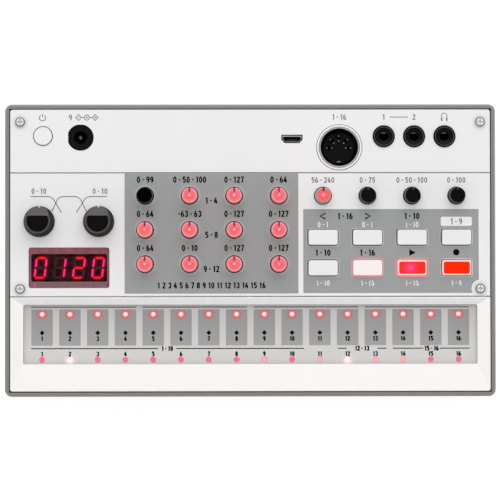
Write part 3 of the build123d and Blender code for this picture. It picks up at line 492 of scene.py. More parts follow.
def board_paint():
    """Green solder mask with a faint pattern of tracks."""
    p = Paint("board_green", 0.4, 0.5)
    mask, track = srgb(18, 92, 58), srgb(34, 122, 76)
    tracks = p.noise(2.4, 0.0, (1.0, 0.3, 1.0))
    p.set("Base Color", p.ramp(tracks, [(0.46, mask), (0.5, track), (0.54, mask)]))
    p.set("Roughness", p.spread(p.noise(0.4), 0.34, 0.46))
    p.bump(tracks, 0.01)
    return p


def button_paint():
    """White cap with painted shade low down in its hole."""
    p = moulded("button_white", srgb(237, 237, 237), 0.42, 0.4, 0.003, 0.01)
    rise = p.math("SUBTRACT", p.place("Z"), HOLE_LIP)
    p.shade(p.levels(rise, (0.1, 0.42), (0.8, 1.0)))
    return p


def isolator_paint():
    """Black knob with a flat for a pointer; a painted highlight lies round the edge of its dish and another
    on the flat, which faces the rear.
    """
    p = moulded("isolator_black", srgb(13, 12, 12), 0.55, 0.22, 0.001, 0.1, 0.06)
    # Painted highlight round the edge of the dish
    dish_edge_highlight = p.levels(from_axis(p), (0.68, 0.0), (0.71, 1.0), (0.78, 1.0), (0.86, 0.0))
    high = p.levels(p.axes(p.coords["Generated"])["Z"], (0.8, 0.0), (0.95, 1.0))
    p.cover(p.by(dish_edge_highlight, high), srgb(84, 79, 76))
    # Painted highlight on the flat that faces the rear
    flat = p.levels(p.facing("Y"), (0.78, 0.0), (0.84, 1.0))
    slope = p.levels(p.facing("Z"), (0.3, 0.0), (0.4, 1.0))
    p.cover(p.by(flat, slope), srgb(96, 91, 92))
    return p


def black_knob_paint():
    """Satin black knob with a pale pointer line."""
    p = moulded("knob_black", srgb(16, 15, 15), 0.3, 0.22, 0.002, 0.1, 0.04)
    p.cover(pointer_mask(p, 0.6), srgb(92, 88, 86))
    return p


def clear_knob_paint():
    """A clear knob lit from below: bright middle, dimple ring, pale rim and a warm side."""
    p = Paint("knob_clear_red", 0.3, 0.4)
    rings = p.ramp(from_axis(p), [
        (0.0, srgb(255, 205, 200)), (0.16, srgb(255, 140, 138)), (0.3, srgb(226, 96, 96)),
        (0.42, srgb(255, 106, 112)), (0.68, srgb(255, 112, 122)), (0.76, srgb(244, 148, 148)),
        (0.86, srgb(252, 172, 172)), (0.95, srgb(140, 62, 66))])
    side = p.math("DIVIDE", from_point(p, 0.64, 0.72, "Generated", 1.0), 0.24)
    warm = p.mix(p.levels(side, (0.0, 0.6), (1.0, 0.0)), rings, srgb(255, 128, 178))
    colour = p.mix(pointer_mask(p, 0.36), warm, srgb(160, 44, 48))
    p.set("Base Color", p.by(colour, p.mix(p.noise(0.3), grey(0.5), grey(0.6))))
    p.glow(colour, 0.42)
    p.bump(p.noise(0.5), 0.003)
    return p


def tempo_knob_paint():
    """A grey-sided knob with a lit red top."""
    p = Paint("knob_tempo", 0.35, 0.4)
    off, red = from_axis(p), srgb(250, 92, 98)
    lit = p.ramp(off, [(0.08, srgb(255, 246, 243)), (0.19, srgb(255, 176, 174)), (0.26, red),
                       (0.76, red), (0.8, BLACK)])
    body = p.ramp(off, [(0.76, red), (0.8, srgb(206, 198, 192)), (1.0, srgb(200, 192, 187))])
    line = pointer_mask(p, 0.42)
    speck = p.mix(p.noise(0.3), p.by(body, grey(0.6)), p.by(body, grey(0.7)))
    p.set("Base Color", p.mix(line, speck, srgb(52, 44, 44)))
    p.glow(p.mix(line, lit, BLACK), 0.4)
    p.bump(p.noise(0.5), 0.003)
    return p


def window_paint():
    """Smoky red window; its border catches the light of the figures."""
    p = Paint("window_tint", 0.05, 0.2)
    p.set("Base Color", p.mix(p.noise(14.0), srgb(196, 141, 152), srgb(204, 149, 159)))
    p.set("Transmission Weight", 1.0)
    p.set("IOR", 1.2)
    flat = p.vector("MULTIPLY", p.coords["Object"], (1.0 / MM, 1.0 / MM, 0.0))
    off = p.axes(p.vector("ABSOLUTE", p.vector("SUBTRACT", flat, (*DISPLAY, 0.0))))
    beyond = p.math("MAXIMUM", p.math("SUBTRACT", off["X"], DISPLAY_HALF[0]),
                    p.math("SUBTRACT", off["Y"], DISPLAY_HALF[1]))
    border = p.levels(p.math("ADD", p.product(beyond, 0.4), 0.2), (0.18, 0.0), (0.22, 1.0))
    streaks = p.ramp(p.noise(2.2, 2.0, (1.0, 0.04, 0.0)),
                     [(0.5, srgb(54, 24, 29)), (0.7, srgb(112, 22, 33))])
    p.glow(p.mix(border, srgb(3, 0, 0), streaks))
    p.bump(p.noise(20.0, 1.0), 0.002)
    return p


# ---------------------------------------------------------------- flat shapes in millimetres

def bow(x, y, rx, ry, start, end, count=12):
    """Points along an ellipse between two angles in degrees."""
    angles = [math.radians(start + (end - start) * i / count) for i in range(count + 1)]
    return [(x + rx * math.cos(a), y + ry * math.sin(a)) for a in angles]


def arc(x, y, r, start, end, count):
    return bow(x, y, r, r, start, end, count)


def circle(x, y, r, count=40):
    return arc(x, y, r, 0, 360, count)[:-1]


def rounded(x, y, w, h, r):
    corners = [(x + w / 2 - r, y + h / 2 - r, 0), (x - w / 2 + r, y + h / 2 - r, 90),
               (x - w / 2 + r, y - h / 2 + r, 180), (x + w / 2 - r, y - h / 2 + r, 270)]
    return [point for cx, cy, a in corners for point in arc(cx, cy, r, a, a + 90, 6)]


def band(x0, x1, y, w):
    return [(x0, y - w / 2), (x1, y - w / 2), (x1, y + w / 2), (x0, y + w / 2)]


def diamond(x, y, r):
    return [(x - r, y), (x, y - r), (x + r, y), (x, y + r)]


def star(x, y, long, short):
    return [(x + r * math.cos(math.radians(45 * i)), y + r * math.sin(math.radians(45 * i)))
            for i, r in enumerate((long, short) * 4)]


def ribbon(points, width):
    """Outline of a line of even width through points."""
    left, right = [], []
    for i, (x, y) in enumerate(points):
        ax, ay = points[max(i - 1, 0)]
        bx, by = points[min(i + 1, len(points) - 1)]
        run = math.hypot(bx - ax, by - ay)
        nx, ny = -(by - ay) / run * width / 2, (bx - ax) / run * width / 2
        left.append((x + nx, y + ny))
        right.append((x - nx, y - ny))
    return left + right[::-1]


# Stroke figures in a cell one unit tall: open strokes, then closed loops as (x, y, rx, ry)
FIGURES = {
    "0": ([], [(0.0, 0.0, 0.175, 0.42)]),
    "1": ([[(0.04, 0.5), (0.04, -0.5)], [(0.06, 0.44), (-0.13, 0.26)]], []),
    "2": ([bow(0.0, 0.235, 0.175, 0.185, 175, -38) + [(-0.17, -0.42)], [(-0.25, -0.42), (0.25, -0.42)]], []),
    "3": ([bow(0.0, 0.22, 0.165, 0.2, 160, -90), bow(0.0, -0.2, 0.175, 0.22, 90, -160)], []),
    "4": ([[(0.06, 0.5), (-0.22, -0.2)], [(-0.26, -0.22), (0.26, -0.22)], [(0.09, 0.12), (0.09, -0.5)]], []),
    "5": ([[(0.22, 0.42), (-0.22, 0.42)], [(-0.14, 0.46), (-0.15, 0.0)],
           bow(-0.01, -0.16, 0.185, 0.26, 140, -150)], []),
    "6": ([[(-0.175, -0.2), (-0.165, 0.06), (-0.1, 0.28), (0.07, 0.47)]], [(0.0, -0.19, 0.175, 0.23)]),
    "7": ([[(-0.23, 0.42), (0.23, 0.42)], [(0.17, 0.45), (-0.06, -0.5)]], []),
    "8": ([], [(0.0, 0.22, 0.155, 0.2), (0.0, -0.205, 0.175, 0.215)]),
    "9": ([[(0.175, 0.2), (0.165, -0.06), (0.1, -0.28), (-0.07, -0.47)]], [(0.0, 0.19, 0.175, 0.23)]),
    "-": ([[(-0.13, 0.0), (0.13, 0.0)]], []),
    " ": ([], []),
}
ADVANCE, USUAL_ADVANCE, SPACE = {"-": 0.46, "1": 0.5}, 0.64, 0.22


# ---------------------------------------------------------------- solid pieces

def plate(levels, *loops):
    """A thin plate with the given outlines; an outline inside another is a hole."""
    bottom, top = levels
    data = bpy.data.curves.new("outline", "CURVE")
    data.dimensions = "2D"
    data.fill_mode = "BOTH"
    data.extrude = (top - bottom) / 2
    for loop in loops:
        spline = data.splines.new("POLY")
        spline.points.add(len(loop) - 1)
        for point, (x, y) in zip(spline.points, loop):
            point.co = (x, y, 0.0, 1.0)
        spline.use_cyclic_u = True
    holder = bpy.data.objects.new("holder", data)
    mesh = bpy.data.meshes.new_from_object(holder)
    mesh.transform(Matrix.Scale(MM, 4) @ Matrix.Translation((0.0, 0.0, (bottom + top) / 2)))
    bpy.data.objects.remove(holder)
    bpy.data.curves.remove(data)
    return mesh


def figures(text, x, y, tall, levels, bold, space=SPACE):
    """Raised plain figures, centred on a place."""
    made = []
    widths = [space if c == " " else ADVANCE.get(c, USUAL_ADVANCE) for c in text]
    at = x - sum(widths) * tall / 2
    for c, width in zip(text, widths):
        cx = at + width * tall / 2
        at += width * tall
        strokes, loops = FIGURES[c]
        for stroke in strokes:
            path = [(cx + u * tall, y + v * tall) for u, v in stroke]
            made.append(plate(levels, ribbon(path, bold * tall)))
        for lx, ly, rx, ry in loops:
            made.append(plate(levels, *[bow(cx + lx * tall, y + ly * tall, (rx + k * bold / 2) * tall,
                                            (ry + k * bold / 2) * tall, 0, 345, 23) for k in (1, -1)]))
    return made


def put(name, work, material, body):
    """An object out of a finished mesh, riding on a body."""
    bmesh.ops.recalc_face_normals(work, faces=work.faces)
    data = bpy.data.meshes.new(name)
    work.to_mesh(data)
    work.free()
    data.materials.append(material)
    made = bpy.data.objects.new(name, data)
    bpy.context.scene.collection.objects.link(made)
    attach(made, body)
    return made


def piece(name, meshes, material, body="housing"):
    """One object out of several meshes."""
    work = bmesh.new()
    for mesh in meshes:
        work.from_mesh(mesh)
        bpy.data.meshes.remove(mesh)
    bmesh.ops.remove_doubles(work, verts=work.verts, dist=1e-7)
    return put(name, work, material, body)


def turn(work, place, profile, steps):
    """Rings of points about an upright axis, one for each (radius, height) of a profile."""
    return [[work.verts.new((x * MM, y * MM, z * MM)) for x, y in circle(*place, r, steps)]
            for r, z in profile]


def skin(work, one, two):
    """Faces between two rings."""
    for i, point in enumerate(one):
        k = (i + 1) % len(one)
        work.faces.new((point, one[k], two[k], two[i]))


def turned(name, profile, places, material, steps=48):
    """Rings turned from a closed profile of (radius, height)."""
    work = bmesh.new()
    for place in places:
        rings = turn(work, place, profile, steps)
        for one, two in zip(rings, rings[1:] + rings[:1]):
            skin(work, one, two)
    made = put(name, work, material, "housing")
    for face in made.data.polygons:
        face.use_smooth = True


def lens_mesh(place, profile, steps=32):
    """A round lens turned from a profile of (radius, height), closed below and above."""
    work = bmesh.new()
    rings = turn(work, place, profile, steps)
    for one, two in zip(rings, rings[1:]):
        skin(work, one, two)
    work.faces.new(rings[0][::-1])
    work.faces.new(rings[-1])
    mesh = bpy.data.meshes.new("lens")
    work.to_mesh(mesh)
    work.free()
    return mesh


# ---------------------------------------------------------------- CAD nodes

rubber = moulded("foot_rubber", srgb(38, 37, 37), 0.8, 0.3, 0.02, 0.12, 0.25)
leaf_metal = metal("leaf_metal", srgb(150, 148, 145), 0.4, (1.0, 1.0, 0.1), 0.4)

for paint, group in (
    (case_paint(), ["bottom_case", "battery_door"]),
    (rubber, ["rubber_feet"]),
    (moulded("cell_can", srgb(60, 62, 66), 0.35, 0.6, 0.003, 0.06), ["batteries"]),
    (metal("contact_metal", srgb(205, 200, 190), 0.34, (0.2, 1.0, 1.0)), ["battery_contacts"]),
    (board_paint(), ["control_board", "jack_board", "touch_board"]),
    (film_paint(), ["touch_film"]),
    (lens_paint("step_lens", STEP_Y, srgb(255, 240, 240), srgb(255, 120, 126), STEP_LENS),
     ["step_led_lenses"]),
    (panel_paint(), ["control_panel"]),
    (bezel_paint(), ["keyboard_bezel"]),
    (screw_paint(), ["panel_screws"]),
    (metal("screw_zinc", srgb(226, 234, 234), 0.3, (1.0, 1.0, 6.0), 0.45), ["case_screws"]),
    (moulded("socket_black", srgb(15, 14, 14), 0.45, 0.25, 0.003, 0.1, 0.1),
     ["potentiometer_bodies", "encoder_body", "tact_switches", "midi_insert", "dc_jack", "usb_tongue"]),
    (moulded("jack_black", srgb(15, 14, 14), 0.3, 0.25, 0.002, 0.08, 0.08),
     ["sync_in_jack", "sync_out_jack", "headphone_jack"]),
    (moulded("module_black", srgb(12, 8, 8), 0.4, 0.5, 0.003, 0.1, 0.08), ["display_module"]),
    (window_paint(), ["display_window"]),
    (metal("plated_metal", srgb(226, 223, 219), 0.34, (1.0, 1.0, 0.08), 0.4),
     ["bass_shaft", "treble_shaft"]),
    (usb_paint(), ["usb_shell"]),
    (shell_paint(), ["midi_shell"]),
    (metal("pin_dark", srgb(34, 33, 33), 0.35, (1.0, 1.0, 0.1), 0.6), ["dc_centre_pin"]),
    (isolator_paint(), ["bass_knob", "treble_knob"]),
    (moulded("knob_gloss_black", srgb(3, 3, 3), 0.2, 0.22, 0.001, 0.1, 0.03), ["sample_knob"]),
    (black_knob_paint(), ["swing_knob", "reverb_knob", "volume_knob"]),
    (clear_knob_paint(), [name + "_knob" for name in CLEAR_KNOBS]),
    (tempo_knob_paint(), ["tempo_knob"]),
    (button_paint(), ["part_back_button", "part_next_button", "mute_button", "shift_button",
                      "memory_button", "power_button"]),
    (lit_button("button_lit", srgb(244, 236, 236), srgb(180, 84, 86), srgb(70, 54, 54)), ["step_button"]),
    (lit_button("button_play", srgb(240, 214, 216), srgb(222, 68, 70), srgb(98, 63, 67)), ["play_button"]),
    (lit_button("button_record", srgb(236, 232, 232), srgb(104, 24, 22), srgb(22, 8, 8)),
     ["record_button"]),
    (lit_plastic("led_chip", srgb(255, 190, 180), srgb(255, 90, 90), 0.8), ["indicator_leds"]),
):
    for name in group:
        for slot in nodes[name].material_slots:
            slot.material = paint.mat
nodes["display_window"].visible_shadow = False

# ---------------------------------------------------------------- printing on the panel

# Bottom and top of the ink on the panel, of the ink over that, and of the ink over the white tag
INK = (PANEL - 0.01, PANEL + 0.02)
OVER = (PANEL + 0.005, PANEL + 0.035)
ON_TAG = (OVER[1] - 0.01, OVER[1] + 0.015)
dark_ink = ink("print_black", srgb(8, 7, 7), 0.7, 0.06)
line_ink = ink("print_line", srgb(122, 121, 121))
pale_ink = ink("print_white", srgb(238, 237, 237))

# Height, levels and stroke of the figures
DARK_TYPE, COUNT_TYPE = (2.4, OVER, 0.22), (2.3, OVER, 0.22, 0.34)
PALE_TYPE, LINE_TYPE, TAG_TYPE = (2.15, OVER, 0.17), (2.25, INK, 0.17), (2.35, ON_TAG, 0.17)


def texts(rows, style):
    """Meshes of several texts, each with its place."""
    return [mesh for text, x, y in rows for mesh in figures(text, x, y, *style)]


def along(words, xs, y):
    """A row of texts at one height."""
    return [(text, x, y) for text, x in zip(words, xs)]


HOLE_PRINT, HOLE_GLOW = (12.86, 7.36, 1.46), (12.3, 6.8, 1.2)
glow_rings = [plate(INK, rounded(x, BUTTON_ROWS[1], *HOLE_PRINT), rounded(x, BUTTON_ROWS[1], *HOLE_GLOW))
              for x in MASTERS[1:3]]
hole_glow = lit_plastic("hole_glow", srgb(208, 174, 173), srgb(255, 90, 90), 0.08)
piece("panel_glow_rings", glow_rings, hole_glow.mat)

KNOB_PRINT, SCREW_PRINT = 3.6, 3.45
knob_holes = [circle(x, y, KNOB_PRINT) for x in COLUMNS for y in ROWS]
button_holes = [rounded(x, y, *HOLE_PRINT) for x in MASTERS for y in BUTTON_ROWS]
left_field = [(-49.45, -17.0), (18.86, -17.0), (18.86, 30.46), (-49.45, 30.46)]
screw_cut = arc(*SCREWS[-1], SCREW_PRINT, 99, 211, 12)
right_field = [(20.8, -16.87), (20.8, 16.16), (89.8, 16.16)] + screw_cut
piece("panel_fields", [plate(INK, left_field, *knob_holes), plate(INK, right_field, *button_holes)],
      field_paint().mat)

KNOB_LABEL, GROUP_LABEL, GROUP_X, COUNT_Y = 6.35, -1.9, -15.3, -13.8
PART_LABEL_Y, KEY_LABEL_Y = 13.4, -1.0
ARROW, DOT = 0.58, 1.25
SCALES = [["0 - 99", "0 - 50 - 100", "0 - 127", "0 - 64"], ["0 - 64", "-63 - 63", "0 - 127", "0 - 127"],
          ["0 - 64", "0 - 10", "0 - 127", "0 - 127"]]
labels = [label for row, y in zip(SCALES, ROWS) for label in along(row, COLUMNS, y + KNOB_LABEL)]
labels += [(text, GROUP_X, y + GROUP_LABEL) for text, y in zip(("1 - 4", "5 - 8", "9 - 12"), ROWS)]
labels += along(("1 - 16", "1 - 10"), (37.3, MASTERS[2]), PART_LABEL_Y)
labels += along(("1 - 10", "1 - 16"), MASTERS, KEY_LABEL_Y)
marks = texts(labels, DARK_TYPE)
marks += texts([(" ".join(str(i + 1) for i in range(KEY_COUNT)), GROUP_X, COUNT_Y)], COUNT_TYPE)
marks += [plate(OVER, loop) for loop in (
    ribbon([(29.5, 14.5), (27.4, 13.4), (29.5, 12.3)], ARROW),
    ribbon([(45.1, 14.5), (47.2, 13.4), (45.1, 12.3)], ARROW),
    [(62.5, -2.25), (65.1, -0.95), (62.5, 0.35)],
    circle(81.0, -0.85, DOT))]
piece("panel_marks", marks, dark_ink.mat)

TAG, TAG_SIZE, UNDER_REAR, UNDER_FRONT = (81.05, 11.3), (12.2, 3.6, 0.7), 10.1, -12.9
pale = texts(along(("0 - 1", "0 - 1", "1 - 10"), MASTERS, UNDER_REAR)
             + along(("1 - 10", "1 - 16", "1 - 16", "1 - 4"), MASTERS, UNDER_FRONT), PALE_TYPE)
pale.append(plate(OVER, rounded(*TAG, *TAG_SIZE)))
piece("panel_pale_marks", pale, pale_ink.mat)

SOCKET_LABEL_Y, SIGN_Y, MASTER_LABEL_Y, ISOLATOR_LABEL_Y = 52.4, 52.3, 27.6, 23.3
lines = texts([("1 - 9", *TAG)], TAG_TYPE)
lines += texts(along(("56 - 240", "0 - 75", "0 - 50 - 100", "0 - 100"), MASTERS, MASTER_LABEL_Y)
               + along(("0 - 10", "0 - 10"), (-83.1, -59.1), ISOLATOR_LABEL_Y) + [("9", -70.7, SIGN_Y)]
               + along(("1 - 16", "1", "2"), (MIDI[0], JACKS[0][0], JACKS[1][0]), SOCKET_LABEL_Y), LINE_TYPE)

# Curves over the two large knobs, drawn with bends of one radius
BEND_Y, BEND_R, CURVE_W = 18.2, 3.0, 0.36


def bend(x, start, end):
    return arc(x, BEND_Y, BEND_R, start, end, 10)


curves = [
    [(-86.4, 21.2)] + bend(-79.7, 90, 30) + [(-74.2, 14.8)],
    [(-78.0, 15.3)] + bend(-73.4, 150, 90) + bend(-69.1, 90, 30) + [(-64.5, 15.3)],
    [(-68.4, 14.8)] + bend(-62.8, 150, 90) + [(-56.4, 21.2)],
]
lines += [plate(INK, ribbon(curve, CURVE_W)) for curve in curves]
# Power sign
lines += [plate(INK, ribbon(stroke, 0.32)) for stroke in (
    arc(-81.7, 52.15, 1.2, 125, 415, 28), [(-81.7, SIGN_Y), (-81.7, 53.75)])]
# Polarity sign: two diamonds with minus and plus, a ring with its centre, and the lines between
lines += [plate(INK, diamond(x, SIGN_Y, 1.38), diamond(x, SIGN_Y, 0.93)) for x in (-67.5, -61.0)]
lines += [plate(INK, circle(-64.3, SIGN_Y, 1.18), circle(-64.3, SIGN_Y, 0.84)),
          plate(INK, circle(-64.3, SIGN_Y, 0.4))]
lines += [plate(INK, band(*line)) for line in (
    (-66.15, -65.46, SIGN_Y, 0.32), (-63.14, -62.36, SIGN_Y, 0.32), (-67.95, -67.05, SIGN_Y, 0.22),
    (-61.45, -60.55, SIGN_Y, 0.22), (-61.11, -60.89, SIGN_Y - 0.3, 0.3), (-61.11, -60.89, SIGN_Y + 0.3, 0.3),
    (JACKS[0][0] + 2.4, JACKS[1][0] - 2.4, SOCKET_LABEL_Y, 0.34))]
# Headphones
lines += [plate(INK, loop) for loop in (
    ribbon(bow(76.4, 52.5, 1.12, 1.5, -28, 208, 22), 0.3),
    rounded(75.4, 51.45, 0.58, 1.3, 0.22),
    rounded(77.4, 51.45, 0.58, 1.3, 0.22))]
piece("panel_lines", lines, line_ink.mat)

# ---------------------------------------------------------------- touch strip

# Bottom and top of the ink on the film and on the pads
FILM = (STRIP - 0.01, STRIP + 0.02)
ON_PAD = (STRIP + 0.005, STRIP + 0.035)
PAD_CORNER, LIGHT_HOLE = 0.25, 0.92
pads = [plate(FILM, rounded(x, PAD_Y, PAD_W, PAD_H, PAD_CORNER), circle(x, STEP_Y, LIGHT_HOLE, 28))
        for x in KEYS]
piece("strip_pads", pads, pad_paint().mat)

BAR_LINE_Y, BAR_LINE_W = -22.3, 0.55
bars = [plate(FILM, band(a, b, BAR_LINE_Y, BAR_LINE_W))
        for a, b in ((-86.4, -45.05), (-42.5, -1.36), (1.24, 42.5), (45.0, 86.0))]
piece("strip_bars", bars, ink("strip_dark", srgb(120, 118, 118)).mat)

RULE_Y, RULE_W = -38.6, 0.38
PAD_MARK_Y, PAD_MARK, PAD_NUMBER_Y, FILM_NUMBER_Y = -32.4, 1.0, -34.7, -40.7
PAD_TYPE, FILM_TYPE, RULE_TYPE = (1.75, ON_PAD, 0.29), (1.75, FILM, 0.29), (1.8, FILM, 0.29)
numbers = [str(i + 1) for i in range(KEY_COUNT)]
counts = [plate(ON_PAD, diamond(x, PAD_MARK_Y, PAD_MARK)) for x in KEYS]
counts += [plate(FILM, band(a, b, RULE_Y, RULE_W)) for a, b in (
    (-86.3, -36.3), (-29.2, 21.1), (34.4, 37.9), (50.0, 53.6), (56.1, 68.1), (74.6, 86.4))]
counts += texts(along(numbers, KEYS, PAD_NUMBER_Y), PAD_TYPE)
counts += texts(along(numbers, KEYS, FILM_NUMBER_Y), FILM_TYPE)
counts += texts(along(("1 - 10", "12 - 13", "15 - 16"), (-32.75, 43.95, 71.35), RULE_Y), RULE_TYPE)
piece("strip_figures", counts, dark_ink.mat)

LENS = [(1.0, 25.7), (1.0, 27.35), (0.94, 27.47), (0.8, 27.55)]
DIM = [i for i in range(KEY_COUNT) if i not in BRIGHT + HALF]
for name, which, core, rim, strength in (
    ("part_lenses_dim", DIM, srgb(250, 112, 146), srgb(238, 84, 104), 0.8),
    ("part_lenses_half", HALF, srgb(255, 176, 178), srgb(255, 110, 120), 0.9),
    ("part_lenses_bright", BRIGHT, srgb(255, 244, 242), srgb(255, 210, 206), 1.0),
):
    paint = lens_paint(name, PART_Y, core, rim, PART_LENS, strength)
    made = piece(name, [lens_mesh((KEYS[i], PART_Y), LENS) for i in which], paint.mat)
    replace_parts(made, "part_led_lenses")

# ---------------------------------------------------------------- display

DIGIT_W, DIGIT_H, BAR, BAR_GAP, SLANT, DIGIT_PITCH = 4.9, 8.75, 1.0, 0.12, 0.12, 7.55
BAR_X, BAR_Y = (DIGIT_W - BAR) / 2, (DIGIT_H - BAR) / 2
# Centre, length and whether it is upright, for each bar of a digit
SEGMENTS = {
    "a": (0.0, BAR_Y, 2 * BAR_X, False),
    "g": (0.0, 0.0, 2 * BAR_X, False),
    "d": (0.0, -BAR_Y, 2 * BAR_X, False),
    "f": (-BAR_X, BAR_Y / 2, BAR_Y, True),
    "e": (-BAR_X, -BAR_Y / 2, BAR_Y, True),
    "b": (BAR_X, BAR_Y / 2, BAR_Y, True),
    "c": (BAR_X, -BAR_Y / 2, BAR_Y, True),
}
SHOWN = ["abcdef", "bc", "abged", "abcdef"]


def bar_outline(x, y, length, upright, grow):
    """A pointed bar of a slanted digit, made wider or narrower all round."""
    half = length / 2 - BAR_GAP + grow
    thin = BAR / 2 + grow
    flat = [(-half, 0.0), (thin - half, thin), (half - thin, thin), (half, 0.0), (half - thin, -thin),
            (thin - half, -thin)]
    points = [(b, a) for a, b in flat] if upright else flat
    return [(x + a + SLANT * (y + b), y + b) for a, b in points]


def digit_bars(lit, grow, bottom, top, upright=None):
    """The lit or unlit bars of the figures between two heights over the display's face."""
    made = []
    for i, shown in enumerate(SHOWN):
        cx = DISPLAY[0] + (i - (len(SHOWN) - 1) / 2) * DIGIT_PITCH
        for key, bar in SEGMENTS.items():
            if (key in shown) == lit and upright in (None, bar[3]):
                loop = [(cx + a, DISPLAY[1] + b) for a, b in bar_outline(*bar, grow)]
                made.append(plate((BARS + bottom, BARS + top), loop))
    return made


dim_bar = moulded("segment_dim", srgb(50, 38, 38), 0.4, 0.3, 0.003, 0.1)
# The wide and halo layers are painted glow spilling round the lit bars on the display's face
layers = {
    "display_bars_dim": (digit_bars(False, 0.0, 0.0, 0.15), dim_bar),
    "display_glow_wide": (digit_bars(True, 0.95, 0.0, 0.006),
                          lit_plastic("segment_glow_wide", srgb(20, 3, 4), srgb(66, 3, 6), 1.0)),
    "display_bars_halo": (digit_bars(True, 0.4, 0.0, 0.012),
                          lit_plastic("segment_halo", srgb(30, 4, 6), srgb(112, 6, 14), 1.0)),
    "display_bars_lit": (digit_bars(True, 0.0, 0.005, 0.12),
                         lit_plastic("segment_edge", srgb(120, 10, 20), srgb(236, 10, 36), 1.3)),
    "display_bars_flat": (digit_bars(True, -0.2, 0.1, 0.14, False),
                          lit_plastic("segment_flat", srgb(160, 20, 40), srgb(255, 34, 66), 1.6)),
    "display_bars_hot": (digit_bars(True, -0.2, 0.1, 0.14, True),
                         lit_plastic("segment_hot", srgb(160, 20, 60), srgb(255, 24, 120), 1.6)),
    "display_bars_core": (digit_bars(True, -0.36, 0.12, 0.15, True),
                          lit_plastic("segment_core", srgb(200, 60, 120), srgb(255, 70, 235), 2.2)),
}
for name, (meshes, paint) in layers.items():
    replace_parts(piece(name, meshes, paint.mat), "display_segments")

# ---------------------------------------------------------------- buttons and sockets

INLAY, INLAY_LEVELS = (10.3, 4.8, 0.72), (CAP - 0.005, CAP + 0.08)
PLAY_LAMP = (MASTERS[2] - 0.75, BUTTON_ROWS[1])
play = lit_plastic("inlay_play", srgb(255, 48, 26), srgb(255, 14, 6), 0.35, PLAY_LAMP,
                   [(0.0, srgb(255, 134, 255)), (0.19, srgb(255, 101, 212)), (0.29, srgb(255, 75, 185)),
                    (0.48, srgb(255, 52, 132)), (0.74, srgb(255, 25, 60))], PLAY_GLOW)
record = lit_plastic("inlay_record", srgb(255, 42, 2), srgb(255, 4, 0), 0.2)
for name, x, paint, body in (("play_inlay", MASTERS[2], play, "play_key"),
                             ("record_inlay", MASTERS[3], record, "record_key")):
    inlay = plate(INLAY_LEVELS, rounded(x, BUTTON_ROWS[1], *INLAY))
    piece(name, [inlay], paint.mat, body)

# A grey ring on the rim of each jack's nose: a painted highlight on its edge
JACK_EDGE = [(3.52, 29.86), (3.6, 29.93), (3.7, 29.93), (3.76, 29.88), (3.7, 29.84), (3.58, 29.82)]
turned("jack_edge_highlight_rings", JACK_EDGE, JACKS,
       moulded("jack_edge", srgb(88, 85, 84), 0.35, 0.2, 0.003, 0.05).mat)
SPRING_OFF, SPRING, SPRING_LEVELS = 1.42, (1.7, 0.36, 0.16), (25.6, 27.6)
springs = [plate(SPRING_LEVELS, rounded(x, y + SPRING_OFF, *SPRING)) for x, y in JACKS]
piece("jack_springs", springs, leaf_metal.mat)

MIDI_RING = [(8.14, 28.7), (8.14, 29.5), (8.2, 29.62), (8.26, 29.64), (8.7, 29.64), (8.78, 29.58),
             (8.82, 29.45), (8.82, 28.95)]
# A dark ring in the gap outside the socket's white ring: painted shade, made with the feet's rubber paint
MIDI_GAP_SHADE = [(8.85, 29.05), (8.85, 29.28), (8.92, 29.34), (9.03, 29.33), (9.05, 29.27)]
turned("midi_ring", MIDI_RING, [MIDI],
       moulded("midi_ring_white", srgb(247, 247, 247), 0.3, 0.4, 0.001, 0.01).mat, 96)
turned("midi_gap_shade", MIDI_GAP_SHADE, [MIDI], rubber.mat, 96)

# A pale metal star on the tip of the DC pin: a painted glint, in the cross shape of the split pin
dc_pin_glint = plate((DC_TIP - 0.01, DC_TIP + 0.05), star(*DC, 0.78, 0.2))
piece("dc_pin_glint_star", [dc_pin_glint], leaf_metal.mat)

# Two leaves for each pin, inside and outside the circle of pins, and the earth contact in front
LEAF_OFF, LEAF, LEAF_LEVELS = 0.98, (0.5, 0.5, 0.2), (24.6, 24.94)
EARTH_OFF, EARTH, EARTH_LEVELS = -5.4, (1.6, 0.5, 0.2), (22.2, 24.4)
leaves = []
for angle in (0, 45, 90, 135, 180):
    ux, uy = math.cos(math.radians(angle)), math.sin(math.radians(angle))
    for r in (PIN_CIRCLE - LEAF_OFF, PIN_CIRCLE + LEAF_OFF):
        leaves.append(plate(LEAF_LEVELS, rounded(MIDI[0] + r * ux, MIDI[1] + r * uy, *LEAF)))
leaves.append(plate(EARTH_LEVELS, rounded(MIDI[0], MIDI[1] + EARTH_OFF, *EARTH)))
piece("midi_contacts", leaves, leaf_metal.mat)

USB_PITCH, STRIPE_OFF, STRIPE, STRIPE_LEVELS = 0.75, -0.42, (0.42, 0.14, 0.05), (23.1, 27.6)
contacts = [plate(STRIPE_LEVELS, rounded(USB[0] + i * USB_PITCH, USB[1] + STRIPE_OFF, *STRIPE))
            for i in range(-2, 3)]
piece("usb_contacts", contacts, leaf_metal.mat)

# ---------------------------------------------------------------- stage, light and camera

scene = bpy.context.scene
scene.view_settings.view_transform = "Standard"

FLOOR_HALF, FLOOR_GREY, FLOOR_SHADOW, FLOOR_GLOW = 20.0, 0.8, 0.14, 0.92
floor_mesh = bpy.data.meshes.new("floor")
floor_mesh.from_pydata([(*corner, 0.0) for corner in band(-FLOOR_HALF, FLOOR_HALF, 0.0, 2 * FLOOR_HALF)],
                       [], [(0, 1, 2, 3)])
floor = bpy.data.objects.new("floor", floor_mesh)
scene.collection.objects.link(floor)

